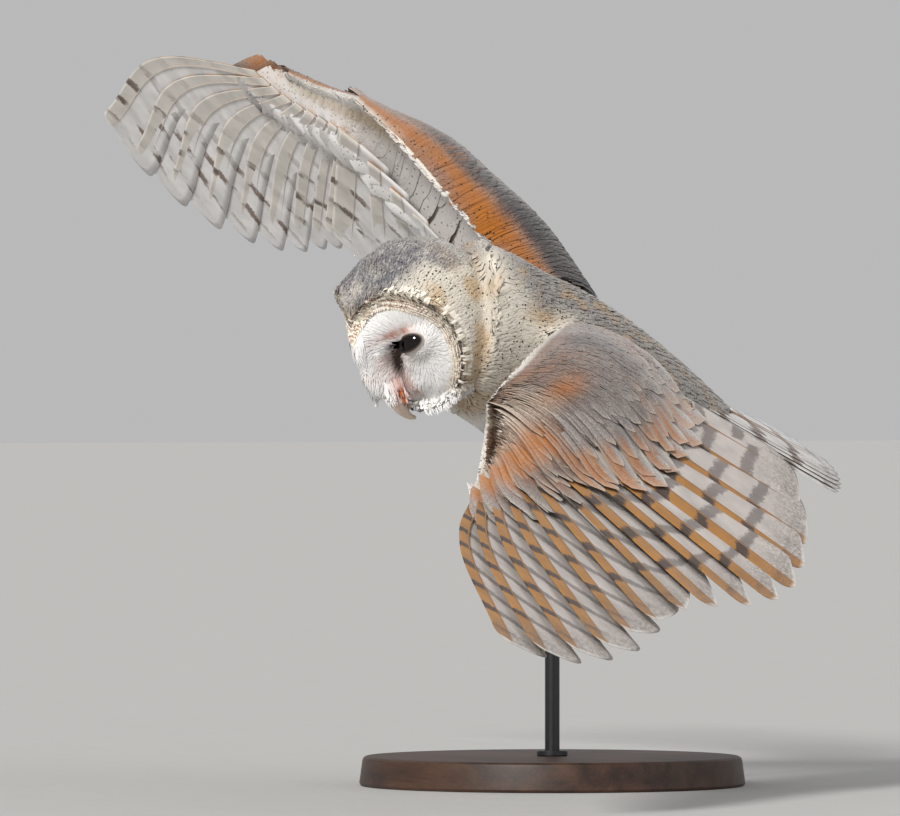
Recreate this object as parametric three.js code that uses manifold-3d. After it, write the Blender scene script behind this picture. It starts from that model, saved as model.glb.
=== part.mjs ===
// A life-size barn owl braking in the air with both wings spread, held by a plain display stand.
// Units are millimetres and +Z is up. The origin is the middle of the base's underside.
// The bird is modelled in its own body frame (+X its left, +Y its tail end, +Z its back), whose
// origin lies midway between the shoulder joints, and the finished body is pitched and rolled.

import * as THREE from "three";
import { mergeVertices } from "three/addons/utils/BufferGeometryUtils.js";
import Module from "manifold-3d";

const wasm = await Module();
wasm.setup();

// ---------------------------------------------------------------- driving dimensions

const GAP = 0.3; // clearance left between neighbouring solids

const POSE = {
  pitchUp: 30, // nose above the horizon, degrees
  rollLeft: 27.5, // left wing down, degrees
  shoulders: [21, -19, 250], // midpoint of the shoulders, above the middle of the base
};

const HEAD = {
  centre: [0, -66, -50], // middle of the facial disc's rim, in the body frame
  turnLeft: 4, // degrees from the body's own heading
  lookDown: 28, // degrees below the horizon
  side: 42, // half-width of the ruff
  crown: 57, // height of the crown over the middle of the disc
  throat: 47,
  nape: 52, // length of the head behind the disc's rim
};

const RIDGE_FRONT = 41; // how far the crest of feathers between the eyes stands before the rim

const EYE = { centre: [18.5, -11.5, 1], radius: 9.2 };

// Trunk sections from the throat to the rump: back = place along +Y, half = half-width.
const TRUNK = [
  { back: -34, half: 26, top: 14, bottom: -46 },
  { back: -16, half: 37, top: 23, bottom: -62 },
  { back: 6, half: 42, top: 27, bottom: -70 },
  { back: 32, half: 42, top: 29, bottom: -68 },
  { back: 58, half: 38, top: 29, bottom: -56 },
  { back: 84, half: 30, top: 28, bottom: -36 },
  { back: 106, half: 22, top: 26, bottom: -14 },
  { back: 126, half: 14, top: 24, bottom: 4 },
];

const NECK = { from: [0, -44, -28], to: [0, 2, -22], half: [38, 36], deep: [50, 46] };

const TAIL = {
  root: [0, 88, 15],
  feathers: 12,
  length: 115,
  raise: 7, // degrees above the body's own axis
  spread: 34, // angle between the outermost feathers, degrees
};

// One record per wing. Directions are in the body frame and are normalised where they are used.
const WINGS = {
  left: {
    side: 1,
    shoulder: [30, 0, 4],
    elbowBack: 34, // how far the elbow lies behind the line from shoulder to wrist
    arm: { length: 150, along: [0.788, -0.542, -0.312] },
    hand: { length: 75, along: [0.855, -0.315, -0.424] },
    lastPrimary: [0.937, -0.332, -0.143],
    firstSecondary: [0.81, 0.585, -0.02],
    innerSecondary: [0.2, 0.97, 0.12],
    fanning: 0.6, // below 1 the spread lies near the wrist, above 1 near the finger tip
    bend: -0.01, // how far a primary's tip bows to the underside, as a share of its length
    sweep: 0.075, // how far a primary bows forward, as a share of its length
    lead: 13, // how far the hand's front edge lies ahead of its bones
    camber: 10,
    thick: 20,
  },
  right: {
    side: -1,
    shoulder: [-30, 0, 4],
    elbowBack: 34,
    arm: { length: 158, along: [-0.852, -0.506, 0.077] },
    hand: { length: 75, along: [-0.965, -0.057, -0.2] },
    lastPrimary: [-0.875, 0.19, -0.4],
    firstSecondary: [-0.588, 0.643, -0.44],
    innerSecondary: [-0.08, 0.98, -0.15],
    fanning: 1.8,
    bend: 0.02,
    sweep: 0.115,
    lead: 6,
    camber: 28,
    thick: 24,
  },
};

const PLUMAGE = {
  primaries: 10,
  secondaries: 13,
  wristAt: 0.66, // place of the wrist along the wing, from 0 at the shoulder to 1 at the finger tip
  innermostAt: 0.03,
  thick: 0.9, // of a flight feather
  relief: 0.4, // how far each shaft stands above the feather's edges
};

// Legs lowered to land. Places are level with the world and count from between the shoulders.
const LEGS = {
  left: { knee: [0, 8, -62], heel: [3, 44, -100], foot: [4, 24, -144], out: 1 },
  right: { knee: [-45, 18, -44], heel: [-43, 52, -88], foot: [-38, 34, -134], out: -1 },
};
const TOES = [
  { name: "inner", angle: -26, length: 25 },
  { name: "middle", angle: 4, length: 29 },
  { name: "outer", angle: 48, length: 25 },
  { name: "hind", angle: 176, length: 18 },
];
const CLAW = { length: 15, root: 2.4 };

const STAND = { baseRadius: 105, baseHeight: 16, rodRadius: 4, socket: 10 };

// ---------------------------------------------------------------- small helpers

const V = (x, y, z) => new THREE.Vector3(x, y, z);
const vec = (a) => V(...a);
const unit = (a) => vec(a).normalize();
const rad = THREE.MathUtils.degToRad;
const clamp01 = (t) => THREE.MathUtils.clamp(t, 0, 1);
const smooth = (t, a, b) => THREE.MathUtils.smoothstep(t, a, b);
const mix = THREE.MathUtils.lerp;

// A closed skin over rings with equal numbers of points, each end closed by a fan.
function loft(rings) {
  const n = rings[0].length;
  const points = rings.flat();
  const index = [];
  for (let r = 0; r + 1 < rings.length; r++) {
    for (let i = 0; i < n; i++) {
      const a = r * n + i;
      const b = r * n + ((i + 1) % n);
      index.push(a, b, a + n, b, b + n, a + n);
    }
  }
  const close = (ring, start, flip) => {
    const centre = ring.reduce((s, p) => s.add(p), V(0, 0, 0)).divideScalar(n);
    const c = points.push(centre) - 1;
    for (let i = 0; i < n; i++) {
      const a = start + i;
      const b = start + ((i + 1) % n);
      index.push(...(flip ? [c, b, a] : [c, a, b]));
    }
  };
  close(rings[0], 0, true);
  close(rings.at(-1), (rings.length - 1) * n, false);
  const geometry = new THREE.BufferGeometry().setFromPoints(points);
  geometry.setIndex(index);
  return geometry;
}

// A thin solid between two grids of points, top and bottom, closed all round its rim.
function sheet(top, bottom) {
  const columns = top.length;
  const rows = top[0].length;
  const points = [...top.flat(), ...bottom.flat()];
  const under = columns * rows;
  const index = [];
  const quad = (a, b, c, d) => index.push(a, b, c, a, c, d);
  const id = (c, r) => c * rows + r;
  for (let c = 0; c + 1 < columns; c++) {
    for (let r = 0; r + 1 < rows; r++) {
      const corners = [id(c, r), id(c + 1, r), id(c + 1, r + 1), id(c, r + 1)];
      quad(...corners);
      quad(...corners.map((k) => k + under).reverse());
    }
  }
  const rim = [
    ...Array.from({ length: columns - 1 }, (_, c) => id(c, 0)),
    ...Array.from({ length: rows - 1 }, (_, r) => id(columns - 1, r)),
    ...Array.from({ length: columns - 1 }, (_, c) => id(columns - 1 - c, rows - 1)),
    ...Array.from({ length: rows - 1 }, (_, r) => id(0, rows - 1 - r)),
  ];
  rim.forEach((a, i) => {
    const b = rim[(i + 1) % rim.length];
    quad(b, a, a + under, b + under);
  });
  const geometry = new THREE.BufferGeometry().setFromPoints(points);
  geometry.setIndex(index);
  return geometry;
}

// A geometry as a manifold solid with its faces pointing out.
function solid(geometry) {
  const bare = geometry.clone();
  bare.deleteAttribute("normal");
  bare.deleteAttribute("uv");
  const merged = mergeVertices(bare, 1e-4);
  const build = (triVerts) =>
    new wasm.Manifold(
      new wasm.Mesh({
        numProp: 3,
        vertProperties: merged.attributes.position.array,
        triVerts,
      }),
    );
  const faces = new Uint32Array(merged.index.array);
  const made = build(faces);
  return made.volume() < 0 ? build(faces.reverse()) : made;
}

const join = (solids) => solids.reduce((a, b) => a.add(b));
const biggest = (s) => s.decompose().sort((a, b) => b.volume() - a.volume())[0];

function geometryOf(s) {
  const { vertProperties, triVerts, numProp } = s.getMesh();
  const position = new Float32Array((vertProperties.length / numProp) * 3);
  for (let i = 0; i * 3 < position.length; i++) {
    position.set(vertProperties.subarray(i * numProp, i * numProp + 3), i * 3);
  }
  const geometry = new THREE.BufferGeometry();
  geometry.setAttribute("position", new THREE.BufferAttribute(position, 3));
  geometry.setIndex(new THREE.BufferAttribute(new Uint32Array(triVerts), 1));
  return geometry;
}

// An elliptical ring about centre, spanned by two half-axis vectors.
function ellipse(centre, across, up, count) {
  return Array.from({ length: count }, (_, i) => {
    const a = (2 * Math.PI * i) / count;
    return centre
      .clone()
      .addScaledVector(across, Math.cos(a))
      .addScaledVector(up, Math.sin(a));
  });
}

// A round bar along a list of points, with one radius for each.
function limb(points, radii, sides) {
  const curve = new THREE.CatmullRomCurve3(points);
  const rings = points.map((p, i) => {
    const along = curve.getTangent(i / (points.length - 1));
    const across = V(1, 0, 0.01).cross(along).normalize();
    const up = along.clone().cross(across);
    return ellipse(p, across.multiplyScalar(radii[i]), up.multiplyScalar(radii[i]), sides);
  });
  return loft(rings);
}

// ---------------------------------------------------------------- trunk, neck and tail

function trunkShape(extra = 0) {
  const rings = TRUNK.map(({ back, half, top, bottom }) => {
    const middle = (top + bottom) / 2;
    return ellipse(
      V(0, back, middle),
      V(half + extra, 0, 0),
      V(0, 0, (top - bottom) / 2 + extra),
      22,
    );
  });
  return loft(rings);
}

// The neck runs from inside the head to inside the trunk.
function neckShape() {
  const start = vec(NECK.from);
  const end = vec(NECK.to);
  const steps = 4;
  const rings = Array.from({ length: steps + 1 }, (_, i) => {
    const t = i / steps;
    const across = V(mix(...NECK.half, t), 0, 0);
    const tilt = mix(rad(30), 0, t);
    const up = V(0, -Math.sin(tilt), Math.cos(tilt)).multiplyScalar(mix(...NECK.deep, t));
    return ellipse(start.clone().lerp(end, t), across, up, 18);
  });
  return loft(rings);
}

// ---------------------------------------------------------------- head
// The head has its own frame: +X its left, +Y backwards and +Z its crown, with the origin in the
// middle of the facial disc's rim.

// The rim of the facial disc at an angle about the gaze, 0 at the bird's left and 90 at the top.
function discRim(angle) {
  const lift = Math.sin(angle);
  const away = Math.abs(Math.cos(angle));
  const notch = Math.exp(-(((angle - Math.PI / 2) / 0.3) ** 2));
  const chin = Math.exp(-(((angle + Math.PI / 2) / 0.45) ** 2));
  const full = HEAD.side + (lift > 0 ? 2 : 4) * lift ** 2;
  const radius = full - 18 * notch - 11 * chin;
  const back = mix(lift > 0 ? -33 : -17, 0, away ** 1.3);
  return { radius, back };
}

// How far back the crest between the eyes lies at a height on the face.
function ridge(height) {
  const above = Math.max(0, height - 12);
  const below = Math.max(0, -23 - height);
  return Math.min(-17, -RIDGE_FRONT + 0.045 * above ** 2 + 0.5 * below ** 2);
}

function headShape(extra = 0) {
  const around = 26;
  const ring = (make) =>
    Array.from({ length: around }, (_, i) => {
      const angle = -Math.PI + (2 * Math.PI * (i + 0.5)) / around;
      const { radius, back } = make(angle, discRim(angle));
      const r = radius + extra;
      return V(Math.cos(angle) * r, back, Math.sin(angle) * r);
    });
  const face = [0.06, 0.16, 0.3, 0.46, 0.62, 0.78, 0.93].map((s) =>
    ring((angle, rim) => {
      const radius = s * rim.radius;
      const away = Math.abs(Math.cos(angle));
      const bowl = s ** mix(3, 0.8, smooth(away, 0, 0.6));
      const back = mix(ridge(radius * Math.sin(angle)), rim.back, bowl) - extra;
      return { radius, back };
    }),
  );
  // The ruff stands up as a lip round the disc.
  const lip = [
    ring((angle, rim) => ({ radius: rim.radius, back: rim.back - 5 - extra })),
    ring((angle, rim) => ({ radius: rim.radius + 2, back: rim.back - 2 })),
  ];
  const skull = [0.12, 0.26, 0.42, 0.6, 0.78, 0.94].map((b) =>
    ring((angle, rim) => {
      const lift = Math.sin(angle);
      const full = mix(HEAD.side - 1, lift > 0 ? HEAD.crown : HEAD.throat, lift ** 2);
      const turn = (b * Math.PI) / 2;
      const widest = mix(rim.radius + 2, full, smooth(b, 0, 0.4));
      return {
        radius: widest * Math.cos(turn) ** 0.55,
        back: mix(rim.back, HEAD.nape + extra, Math.sin(turn) ** 1.1),
      };
    }),
  );
  return loft([...face, ...lip, ...skull]);
}

// How much higher the first ring of a downward horn lies, and how much lower its last one.
const beyond = (i, steps, extra) => (i === 0 ? extra : i === steps ? -extra : 0);

// The upper bill: a narrow hook that comes down out of the ridge.
function billUpper(extra = 0) {
  const steps = 8;
  const ridge = (t) => V(0, -29.5 + 12 * t ** 3.6, -12 - 30.4 * (1 - (1 - t) ** 1.15));
  const rings = Array.from({ length: steps + 1 }, (_, i) => {
    const t = i / steps;
    const along = ridge(Math.min(t + 0.02, 1)).sub(ridge(Math.max(t - 0.02, 0))).normalize();
    const inward = V(0, -along.z, along.y);
    const half = mix(5.8, 0.9, t ** 1.6) + extra;
    const deep = mix(8, 1.1, t ** 1.2);
    const centre = ridge(t).addScaledVector(inward, deep);
    centre.z += beyond(i, steps, extra);
    return ellipse(centre, V(half, 0, 0), inward.multiplyScalar(deep + extra), 12);
  });
  return loft(rings);
}

function billLower(extra = 0) {
  const steps = 4;
  const rings = Array.from({ length: steps + 1 }, (_, i) => {
    const t = i / steps;
    const centre = V(0, -10 - 6.5 * t, -21 - 13 * t);
    centre.z += 2 * beyond(i, steps, extra);
    const half = mix(5, 1.8, t) + extra;
    return ellipse(centre, V(half, 0, 0), V(0, 2.6 + extra, -1.4 - 0.5 * extra), 10);
  });
  return loft(rings);
}

// ---------------------------------------------------------------- wings

// The wing's own frame at a place q, from 0 at the shoulder to 1 at the finger tip: the line of
// the feather roots, the way the feathers point and the way the wing's back faces.
function wingFrame(wing, q) {
  const { wristAt, innermostAt } = PLUMAGE;
  const arm = unit(wing.arm.along);
  const shoulder = vec(wing.shoulder);
  const wrist = shoulder.clone().addScaledVector(arm, wing.arm.length);
  const finger = wrist.clone().addScaledVector(unit(wing.hand.along), wing.hand.length);
  const bone =
    q < wristAt
      ? shoulder.clone().lerp(wrist, q / wristAt)
      : wrist.clone().lerp(finger, (q - wristAt) / (1 - wristAt));
  const primary = unit(wing.lastPrimary);
  const first = unit(wing.firstSecondary);
  const fan = clamp01((q - wristAt) / (1 - wristAt));
  const pull = clamp01((wristAt - q) / (wristAt - innermostAt));
  const feather = first
    .clone()
    .lerp(primary, fan ** wing.fanning)
    .lerp(unit(wing.innerSecondary), pull ** 0.9)
    .normalize();
  const handFace = primary.clone().cross(first).multiplyScalar(wing.side).normalize();
  const armFace = arm.clone().cross(feather).multiplyScalar(wing.side).normalize();
  const face = armFace.lerp(handFace, smooth(q, 0.35, wristAt));
  face.addScaledVector(feather, -face.dot(feather)).normalize();
  const elbow = Math.sin(Math.PI * clamp01(q / wristAt)) * wing.elbowBack;
  const root = bone.clone().addScaledVector(first, elbow * 0.7);
  return { bone, root, feather, face };
}

// Length of the flight feather rooted at q, and how much of it the coverts hide.
function featherSize(q) {
  const { wristAt } = PLUMAGE;
  const out = clamp01((q - wristAt) / (1 - wristAt));
  const inward = clamp01((wristAt - q) / wristAt);
  const length = 154 + 76 * Math.sin(out * 1.75) ** 2 - 10 * inward ** 2;
  const covered = mix(mix(50, 76, inward ** 2), 52 - 6 * smooth(out, 0.6, 1), out);
  return { length, covered };
}

// The part of the wing that the coverts hide, as a cambered blade between two places.
function blade(wing, from, to, extra) {
  const steps = Math.max(4, Math.round((to - from) * 13));
  const { wristAt } = PLUMAGE;
  const chordwise = [0, 0.03, 0.1, 0.24, 0.45, 0.72, 1];
  const section = (q) => {
    const { bone, root, feather, face } = wingFrame(wing, q);
    const tip = smooth(q, 0.88, 1.03);
    const lead = -mix(14, wing.lead, smooth(q, 0.5, 0.9));
    const front = bone.clone().addScaledVector(feather, lead);
    const rear = root.clone().addScaledVector(feather, featherSize(q).covered);
    const thick = mix(wing.thick, 10, smooth(q, 0.05, 0.85)) * mix(1, 0.55, tip);
    const bulge = smooth(q, -0.2, 0.25) * smooth(wristAt + 0.06 - q, 0, 0.3);
    const arch = wing.camber * mix(0.25, 1, bulge);
    const place = (x, way) => {
      const depth = Math.max(
        mix(0.5, 2.3, smooth(x, 0, 0.05)),
        thick * 1.05 * Math.sqrt(x) * (1 - x) ** 0.8,
      );
      const past = extra / front.distanceTo(rear);
      return front
        .clone()
        .lerp(rear, mix(-past, 1 + past, x))
        .addScaledVector(face, arch * Math.sin(Math.PI * x ** 0.75) + way * (depth + extra));
    };
    return [1, -1].map((way) => chordwise.map((x) => place(x, way)));
  };
  const past = extra / (wing.arm.length + wing.hand.length);
  const sections = Array.from({ length: steps + 1 }, (_, i) =>
    section(mix(from - past, to + past, i / steps)),
  );
  return sheet(
    sections.map((s) => s[0]),
    sections.map((s) => s[1]),
  );
}

// A row of overlapping flight feathers as one thin corrugated sheet with a blunt tip for each.
// The sheet ends half-way to the feathers before and after it, or a margin outside its last shaft.
function fan(feathers, { rows, notch, before, after }) {
  const { thick, relief } = PLUMAGE;
  const shaft = (f, t) =>
    f.root
      .clone()
      .addScaledVector(f.along, f.length * t)
      .addScaledVector(f.across, f.sweep * f.length * Math.sin(Math.PI * t) ** 1.5)
      .addScaledVector(f.face, -f.bend * f.length * t * t);
  const row = [before, ...feathers, after];
  const edge = (i, way) => (t) => {
    const f = row[i];
    const next = row[i + way];
    const wide = mix(0.35, 1, Math.sin(Math.PI * Math.min(0.5, t)));
    if (!next) return shaft(f, t).addScaledVector(f.across, way * f.margin * wide);
    const shared = i + way > 0 && i + way < row.length - 1;
    const [a, b] = [shaft(f, t), shaft(next, t)];
    return a.lerp(b, shared ? 0.5 : 0.5 - (0.6 * GAP) / a.distanceTo(b));
  };
  const depth = (i, way) => {
    const next = row[i + way];
    return next ? notch + 0.4 * Math.max(0, 1 - next.length / row[i].length) : notch;
  };
  const columns = [];
  feathers.forEach((f, k) => {
    const i = k + 1;
    const [inner, outer] = [edge(i, -1), edge(i, 1)];
    const add = (at, end, rise) => columns.push({ at, end, rise, f });
    add(inner, 1 - depth(i, -1), -relief);
    add((t) => inner(t).lerp(shaft(f, t), 0.7), 0.995, relief);
    add((t) => shaft(f, t).lerp(outer(t), 0.3), 1, relief);
    if (i === feathers.length) add(outer, 1 - depth(i, 1), -relief);
  });
  const grid = (way) =>
    columns.map(({ at, end, rise, f }) =>
      Array.from({ length: rows + 1 }, (_, r) => {
        const t = mix(f.covered / f.length, end, r / rows);
        return at(t).addScaledVector(f.face, rise + (way * thick) / 2);
      }),
    );
  return sheet(grid(1), grid(-1));
}

// Every flight feather of a wing, from the innermost secondary to the outermost primary.
function flightFeathers(wing) {
  const { primaries, secondaries, wristAt, innermostAt } = PLUMAGE;
  const make = (q) => {
    const { root, feather, face } = wingFrame(wing, q);
    const { length, covered } = featherSize(q);
    const across = feather.clone().cross(face).multiplyScalar(wing.side).normalize();
    const out = smooth(q, wristAt, 1);
    return {
      root,
      along: feather,
      across,
      face,
      length,
      covered: covered - 2,
      sweep: wing.sweep * out,
      bend: wing.bend * out,
      margin: 8,
    };
  };
  const list = (count, from, to) =>
    Array.from({ length: count }, (_, i) => make(mix(from, to, i / (count - 1))));
  return {
    secondaries: list(secondaries, innermostAt, wristAt - 0.022),
    primaries: list(primaries, wristAt + 0.022, 0.99),
  };
}

function tailFan() {
  const { root, feathers, length, raise, spread } = TAIL;
  const list = Array.from({ length: feathers }, (_, i) => {
    const turn = mix(-spread / 2, spread / 2, i / (feathers - 1));
    const along = V(0, 1, 0)
      .applyAxisAngle(V(1, 0, 0), rad(raise))
      .applyAxisAngle(V(0, 0, 1), rad(-turn));
    const across = V(1, 0, 0).applyAxisAngle(V(0, 0, 1), rad(-turn));
    return {
      root: vec(root).add(V(turn * 0.55, 0, -0.012 * turn ** 2)),
      along,
      across,
      face: V(0, 0, 1),
      length: length - 0.03 * turn ** 2,
      covered: 12,
      sweep: 0,
      bend: -0.01,
      margin: 8,
    };
  });
  return fan(list, { rows: 3, notch: 0.035 });
}

// ---------------------------------------------------------------- legs

function legParts({ knee, heel, foot, out }) {
  const origin = vec(POSE.shoulders);
  const at = (a) => vec(a).add(origin);
  const [k, h, f] = [at(knee), at(heel), at(foot)];
  const up = k.clone().sub(h).normalize();
  const thigh = (extra = 0) =>
    limb(
      [
        k.clone().addScaledVector(up, 14),
        k,
        k.clone().lerp(h, 0.5),
        h.clone().lerp(k, 0.12).addScaledVector(up, -extra),
      ],
      [15, 16, 12, 7].map((radius) => radius + extra),
      14,
    );
  const tarsus = limb([h.clone().lerp(k, 0.2), h, h.clone().lerp(f, 0.5), f], [4, 5, 4.2, 4.5], 8);
  const digits = TOES.map(({ name, angle, length }) => {
    const turn = rad(angle * out);
    const ahead = V(Math.sin(turn), -Math.cos(turn), 0);
    const along = (r, drop) => f.clone().addScaledVector(ahead, r).add(V(0, 0, -drop));
    const toe = limb(
      [along(-1, 0), along(length * 0.35, 1), along(length * 0.75, 4), along(length, 8)],
      [4.2, 3.6, 3.2, 2.9],
      6,
    );
    const nail = limb(
      [
        along(length + 3 * GAP, 8),
        along(length + CLAW.length * 0.35, 11),
        along(length + CLAW.length * 0.62, 16),
        along(length + CLAW.length * 0.68, 21),
      ],
      [1, 0.85, 0.5, 0.15].map((share) => CLAW.root * share),
      6,
    );
    return { name, toe, nail };
  });
  return { thigh, tarsus, digits };
}

// ---------------------------------------------------------------- assembly

const FINISH = {
  gold: { color: 0xb08a55, roughness: 0.9 },
  white: { color: 0xe8e2d6, roughness: 0.9 },
  flight: { color: 0xb59a72, roughness: 0.85 },
  horn: { color: 0xe6cdb8, roughness: 0.45 },
  skin: { color: 0xb9a690, roughness: 0.7 },
  claw: { color: 0x2a2422, roughness: 0.4 },
  eye: { color: 0x0a0706, roughness: 0.05 },
  stand: { color: 0x2c2a28, roughness: 0.5 },
};

const owl = new THREE.Group();

function piece(name, s, finish) {
  const material = new THREE.MeshStandardMaterial({ metalness: 0, ...FINISH[finish] });
  const mesh = new THREE.Mesh(geometryOf(s), material);
  mesh.name = name;
  owl.add(mesh);
}

const bodyPlace = new THREE.Matrix4()
  .makeRotationFromEuler(new THREE.Euler(rad(-POSE.pitchUp), rad(POSE.rollLeft), 0))
  .setPosition(...POSE.shoulders);

// The head keeps its own bearing in the world, whatever the body does.
const headPlace = new THREE.Matrix4()
  .makeRotationFromEuler(new THREE.Euler(rad(HEAD.lookDown), 0, rad(HEAD.turnLeft), "ZYX"))
  .setPosition(vec(HEAD.centre).applyMatrix4(bodyPlace));

const inBody = (geometry) => solid(geometry.applyMatrix4(bodyPlace));
const inHead = (geometry) => solid(geometry.applyMatrix4(headPlace));
const cut = (s, ...tools) => biggest(s.subtract(join(tools)).simplify(0.1));

// Head, eyes and bill.
const ball = (side, extra = 0) => {
  const [x, y, z] = EYE.centre;
  return inHead(new THREE.SphereGeometry(EYE.radius + extra, 12, 8).translate(side * x, y, z));
};
const headRoom = inHead(headShape(GAP));
const billUpperRoom = inHead(billUpper(GAP));
const billLowerRoom = inHead(billLower(GAP));
piece(
  "head",
  cut(inHead(headShape()), ball(1, GAP), ball(-1, GAP), billUpperRoom, billLowerRoom),
  "white",
);
piece("eye_left", ball(1), "eye");
piece("eye_right", ball(-1), "eye");
piece("bill_upper", inHead(billUpper()), "horn");
piece("bill_lower", cut(inHead(billLower()), billUpperRoom), "horn");

// The stand's rod rises between the legs into a socket in the belly.
const rod = (extra) => {
  const { baseHeight, rodRadius, socket } = STAND;
  const bottom = baseHeight - socket - extra;
  const top = POSE.shoulders[2] - 52 + extra;
  return solid(
    new THREE.CylinderGeometry(rodRadius + extra, rodRadius + extra, top - bottom, 16)
      .rotateX(Math.PI / 2)
      .translate(0, 0, (top + bottom) / 2),
  );
};
const { baseRadius, baseHeight } = STAND;
const foot = new THREE.CylinderGeometry(baseRadius - 2, baseRadius, baseHeight, 36)
  .rotateX(Math.PI / 2)
  .translate(0, 0, baseHeight / 2);

// Trunk, neck and tail.
const trunk = inBody(trunkShape());
const trunkRoom = inBody(trunkShape(GAP));
const neck = inBody(neckShape());
piece("trunk", cut(trunk, rod(GAP), headRoom), "white");
piece("neck", cut(neck, headRoom, trunkRoom), "gold");
piece("tail", cut(inBody(tailFan()), trunkRoom), "flight");

// Wings: coverts over the arm and the hand, then the flight feathers that come out of them.
const bodyRoom = join([trunkRoom, neck, headRoom]);
for (const [label, wing] of Object.entries(WINGS)) {
  const { wristAt } = PLUMAGE;
  const feathers = flightFeathers(wing);
  const name = (part) => `wing_${label}_${part}`;
  const arm = (extra) => inBody(blade(wing, 0, wristAt - 0.002, extra));
  const hand = (extra) => inBody(blade(wing, wristAt + 0.002, 1.01, extra));
  const covertRoom = join([arm(GAP), hand(GAP)]);
  piece(name("arm"), cut(arm(0), bodyRoom), "gold");
  piece(name("hand"), hand(0), "gold");
  const { secondaries, primaries } = feathers;
  const inner = fan(secondaries, { rows: 2, notch: 0.045, after: primaries[0] });
  const outer = fan(primaries, { rows: 3, notch: 0.07, before: secondaries.at(-1) });
  piece(name("secondaries"), cut(inBody(inner), bodyRoom, covertRoom), "flight");
  piece(name("primaries"), cut(inBody(outer), covertRoom), "flight");
}

// Legs, feet and claws.
for (const [label, leg] of Object.entries(LEGS)) {
  const { thigh, tarsus, digits } = legParts(leg);
  const thighRoom = solid(thigh(GAP));
  piece(`leg_${label}_thigh`, cut(solid(thigh()), trunkRoom), "white");
  const lower = solid(tarsus);
  const toes = join([lower, ...digits.map(({ toe }) => solid(toe))]);
  piece(`leg_${label}_foot`, cut(toes, thighRoom), "skin");
  digits.forEach(({ name, nail }) => piece(`claw_${label}_${name}`, solid(nail), "claw"));
}

piece("stand_base", cut(solid(foot), rod(GAP)), "stand");
piece("stand_rod", rod(0), "stand");

export default owl;
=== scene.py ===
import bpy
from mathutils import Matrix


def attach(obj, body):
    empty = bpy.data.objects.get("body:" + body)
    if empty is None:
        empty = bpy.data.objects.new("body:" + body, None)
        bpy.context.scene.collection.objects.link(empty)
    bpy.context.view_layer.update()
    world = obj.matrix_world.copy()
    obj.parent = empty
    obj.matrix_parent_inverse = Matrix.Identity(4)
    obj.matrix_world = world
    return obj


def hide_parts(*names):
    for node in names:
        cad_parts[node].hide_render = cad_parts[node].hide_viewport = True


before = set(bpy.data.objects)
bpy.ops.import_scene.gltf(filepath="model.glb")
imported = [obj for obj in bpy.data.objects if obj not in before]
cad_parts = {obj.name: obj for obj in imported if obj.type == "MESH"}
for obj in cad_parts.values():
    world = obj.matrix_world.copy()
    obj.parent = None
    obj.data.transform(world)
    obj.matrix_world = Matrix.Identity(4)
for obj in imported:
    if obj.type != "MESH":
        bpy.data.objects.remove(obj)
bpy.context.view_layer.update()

import math

import bmesh
import bpy
import numpy as np
from mathutils import Matrix, Vector
from mathutils.bvhtree import BVHTree

bl_info = {
    "name": "Barn owl on a display stand",
    "version": (1, 0, 0),
    "blender": (4, 5, 0),
    "location": "View3D > Sidebar > Owl",
    "description": "Skin, plumage, eyes, bill, feet and stand of a life-size barn owl",
    "category": "Object",
}

MM = 0.001  # the owl's own sizes are in millimetres, Blender's in metres

# ------------------------------------------------------------------ the owl's build
# Body frame: +X its left, +Y its tail end, +Z its back, origin between the shoulders.
# Head frame: +X its left, +Y backwards, +Z its crown, origin in the middle of the disc's rim.

SHOULDERS = (21, -19, 250)
PITCH_UP, ROLL_LEFT = 30, 27.5
HEAD_CENTRE = (0, -66, -50)
HEAD_TURN, HEAD_DOWN = 4, 28
DISC_RADIUS = 42
HEAD_MIDDLE = np.array([0, 8, 2])  # middle of the skull, for distances over the head
EYE_CENTRE = np.array([18.5, -11.5, 1.0])
EYE_RADIUS = 9.2
LID_RADIUS = 10.0
OPENING_AXIS = (0.24, -0.875, 0.41)  # where the eye's opening faces, in the head frame
OPENING = (8.0, 4.4)  # its half-length and half-height
OPENING_TILT = 12  # how far its outer corner is raised, degrees

WRIST, INNERMOST = 0.66, 0.03
RECTRICES = 12
WRIST_GAP = 0.022  # half the gap between the first secondary and the last primary, along q
BAR_SPACING = 26
SKIN_VOXEL, FOOT_VOXEL, CLAW_VOXEL = 1.53, 0.8, 0.35
WINGS = {
    "left": {
        "side": 1,
        "shoulder": (30, 0, 4),
        "elbow": 34,
        "arm": (150, (0.788, -0.542, -0.312)),
        "hand": (75, (0.855, -0.315, -0.424)),
        "last_primary": (0.937, -0.332, -0.143),
        "first_secondary": (0.81, 0.585, -0.02),
        "inner_secondary": (0.2, 0.97, 0.12),
        "fanning": 0.6,
        "bend": -0.01,
        "sweep": 0.075,
        "lead": 13,
        "camber": 10,
        "thick": 20,
        "soot": 0.25,
        "nose": 0.2,
        "flight": (7, 8),
        "swept": -0.7,
    },
    "right": {
        "side": -1,
        "shoulder": (-30, 0, 4),
        "elbow": 34,
        "arm": (158, (-0.852, -0.506, 0.077)),
        "hand": (75, (-0.965, -0.057, -0.2)),
        "last_primary": (-0.875, 0.19, -0.4),
        "first_secondary": (-0.588, 0.643, -0.44),
        "inner_secondary": (-0.08, 0.98, -0.15),
        "fanning": 1.8,
        "bend": 0.02,
        "sweep": 0.115,
        "lead": 6,
        "camber": 28,
        "thick": 24,
        # Much of this raised wing's charcoal is painted shade on the back of the arm.
        "soot": 0.9,
        "nose": 1.0,
        "flight": (9, 10),
        "swept": 0.1,
    },
}
TAIL_ROOT = np.array([0.0, 88.0, 15.0])
TAIL_LENGTH, TAIL_RAISE, TAIL_SPREAD = 115, 7, 34

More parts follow.
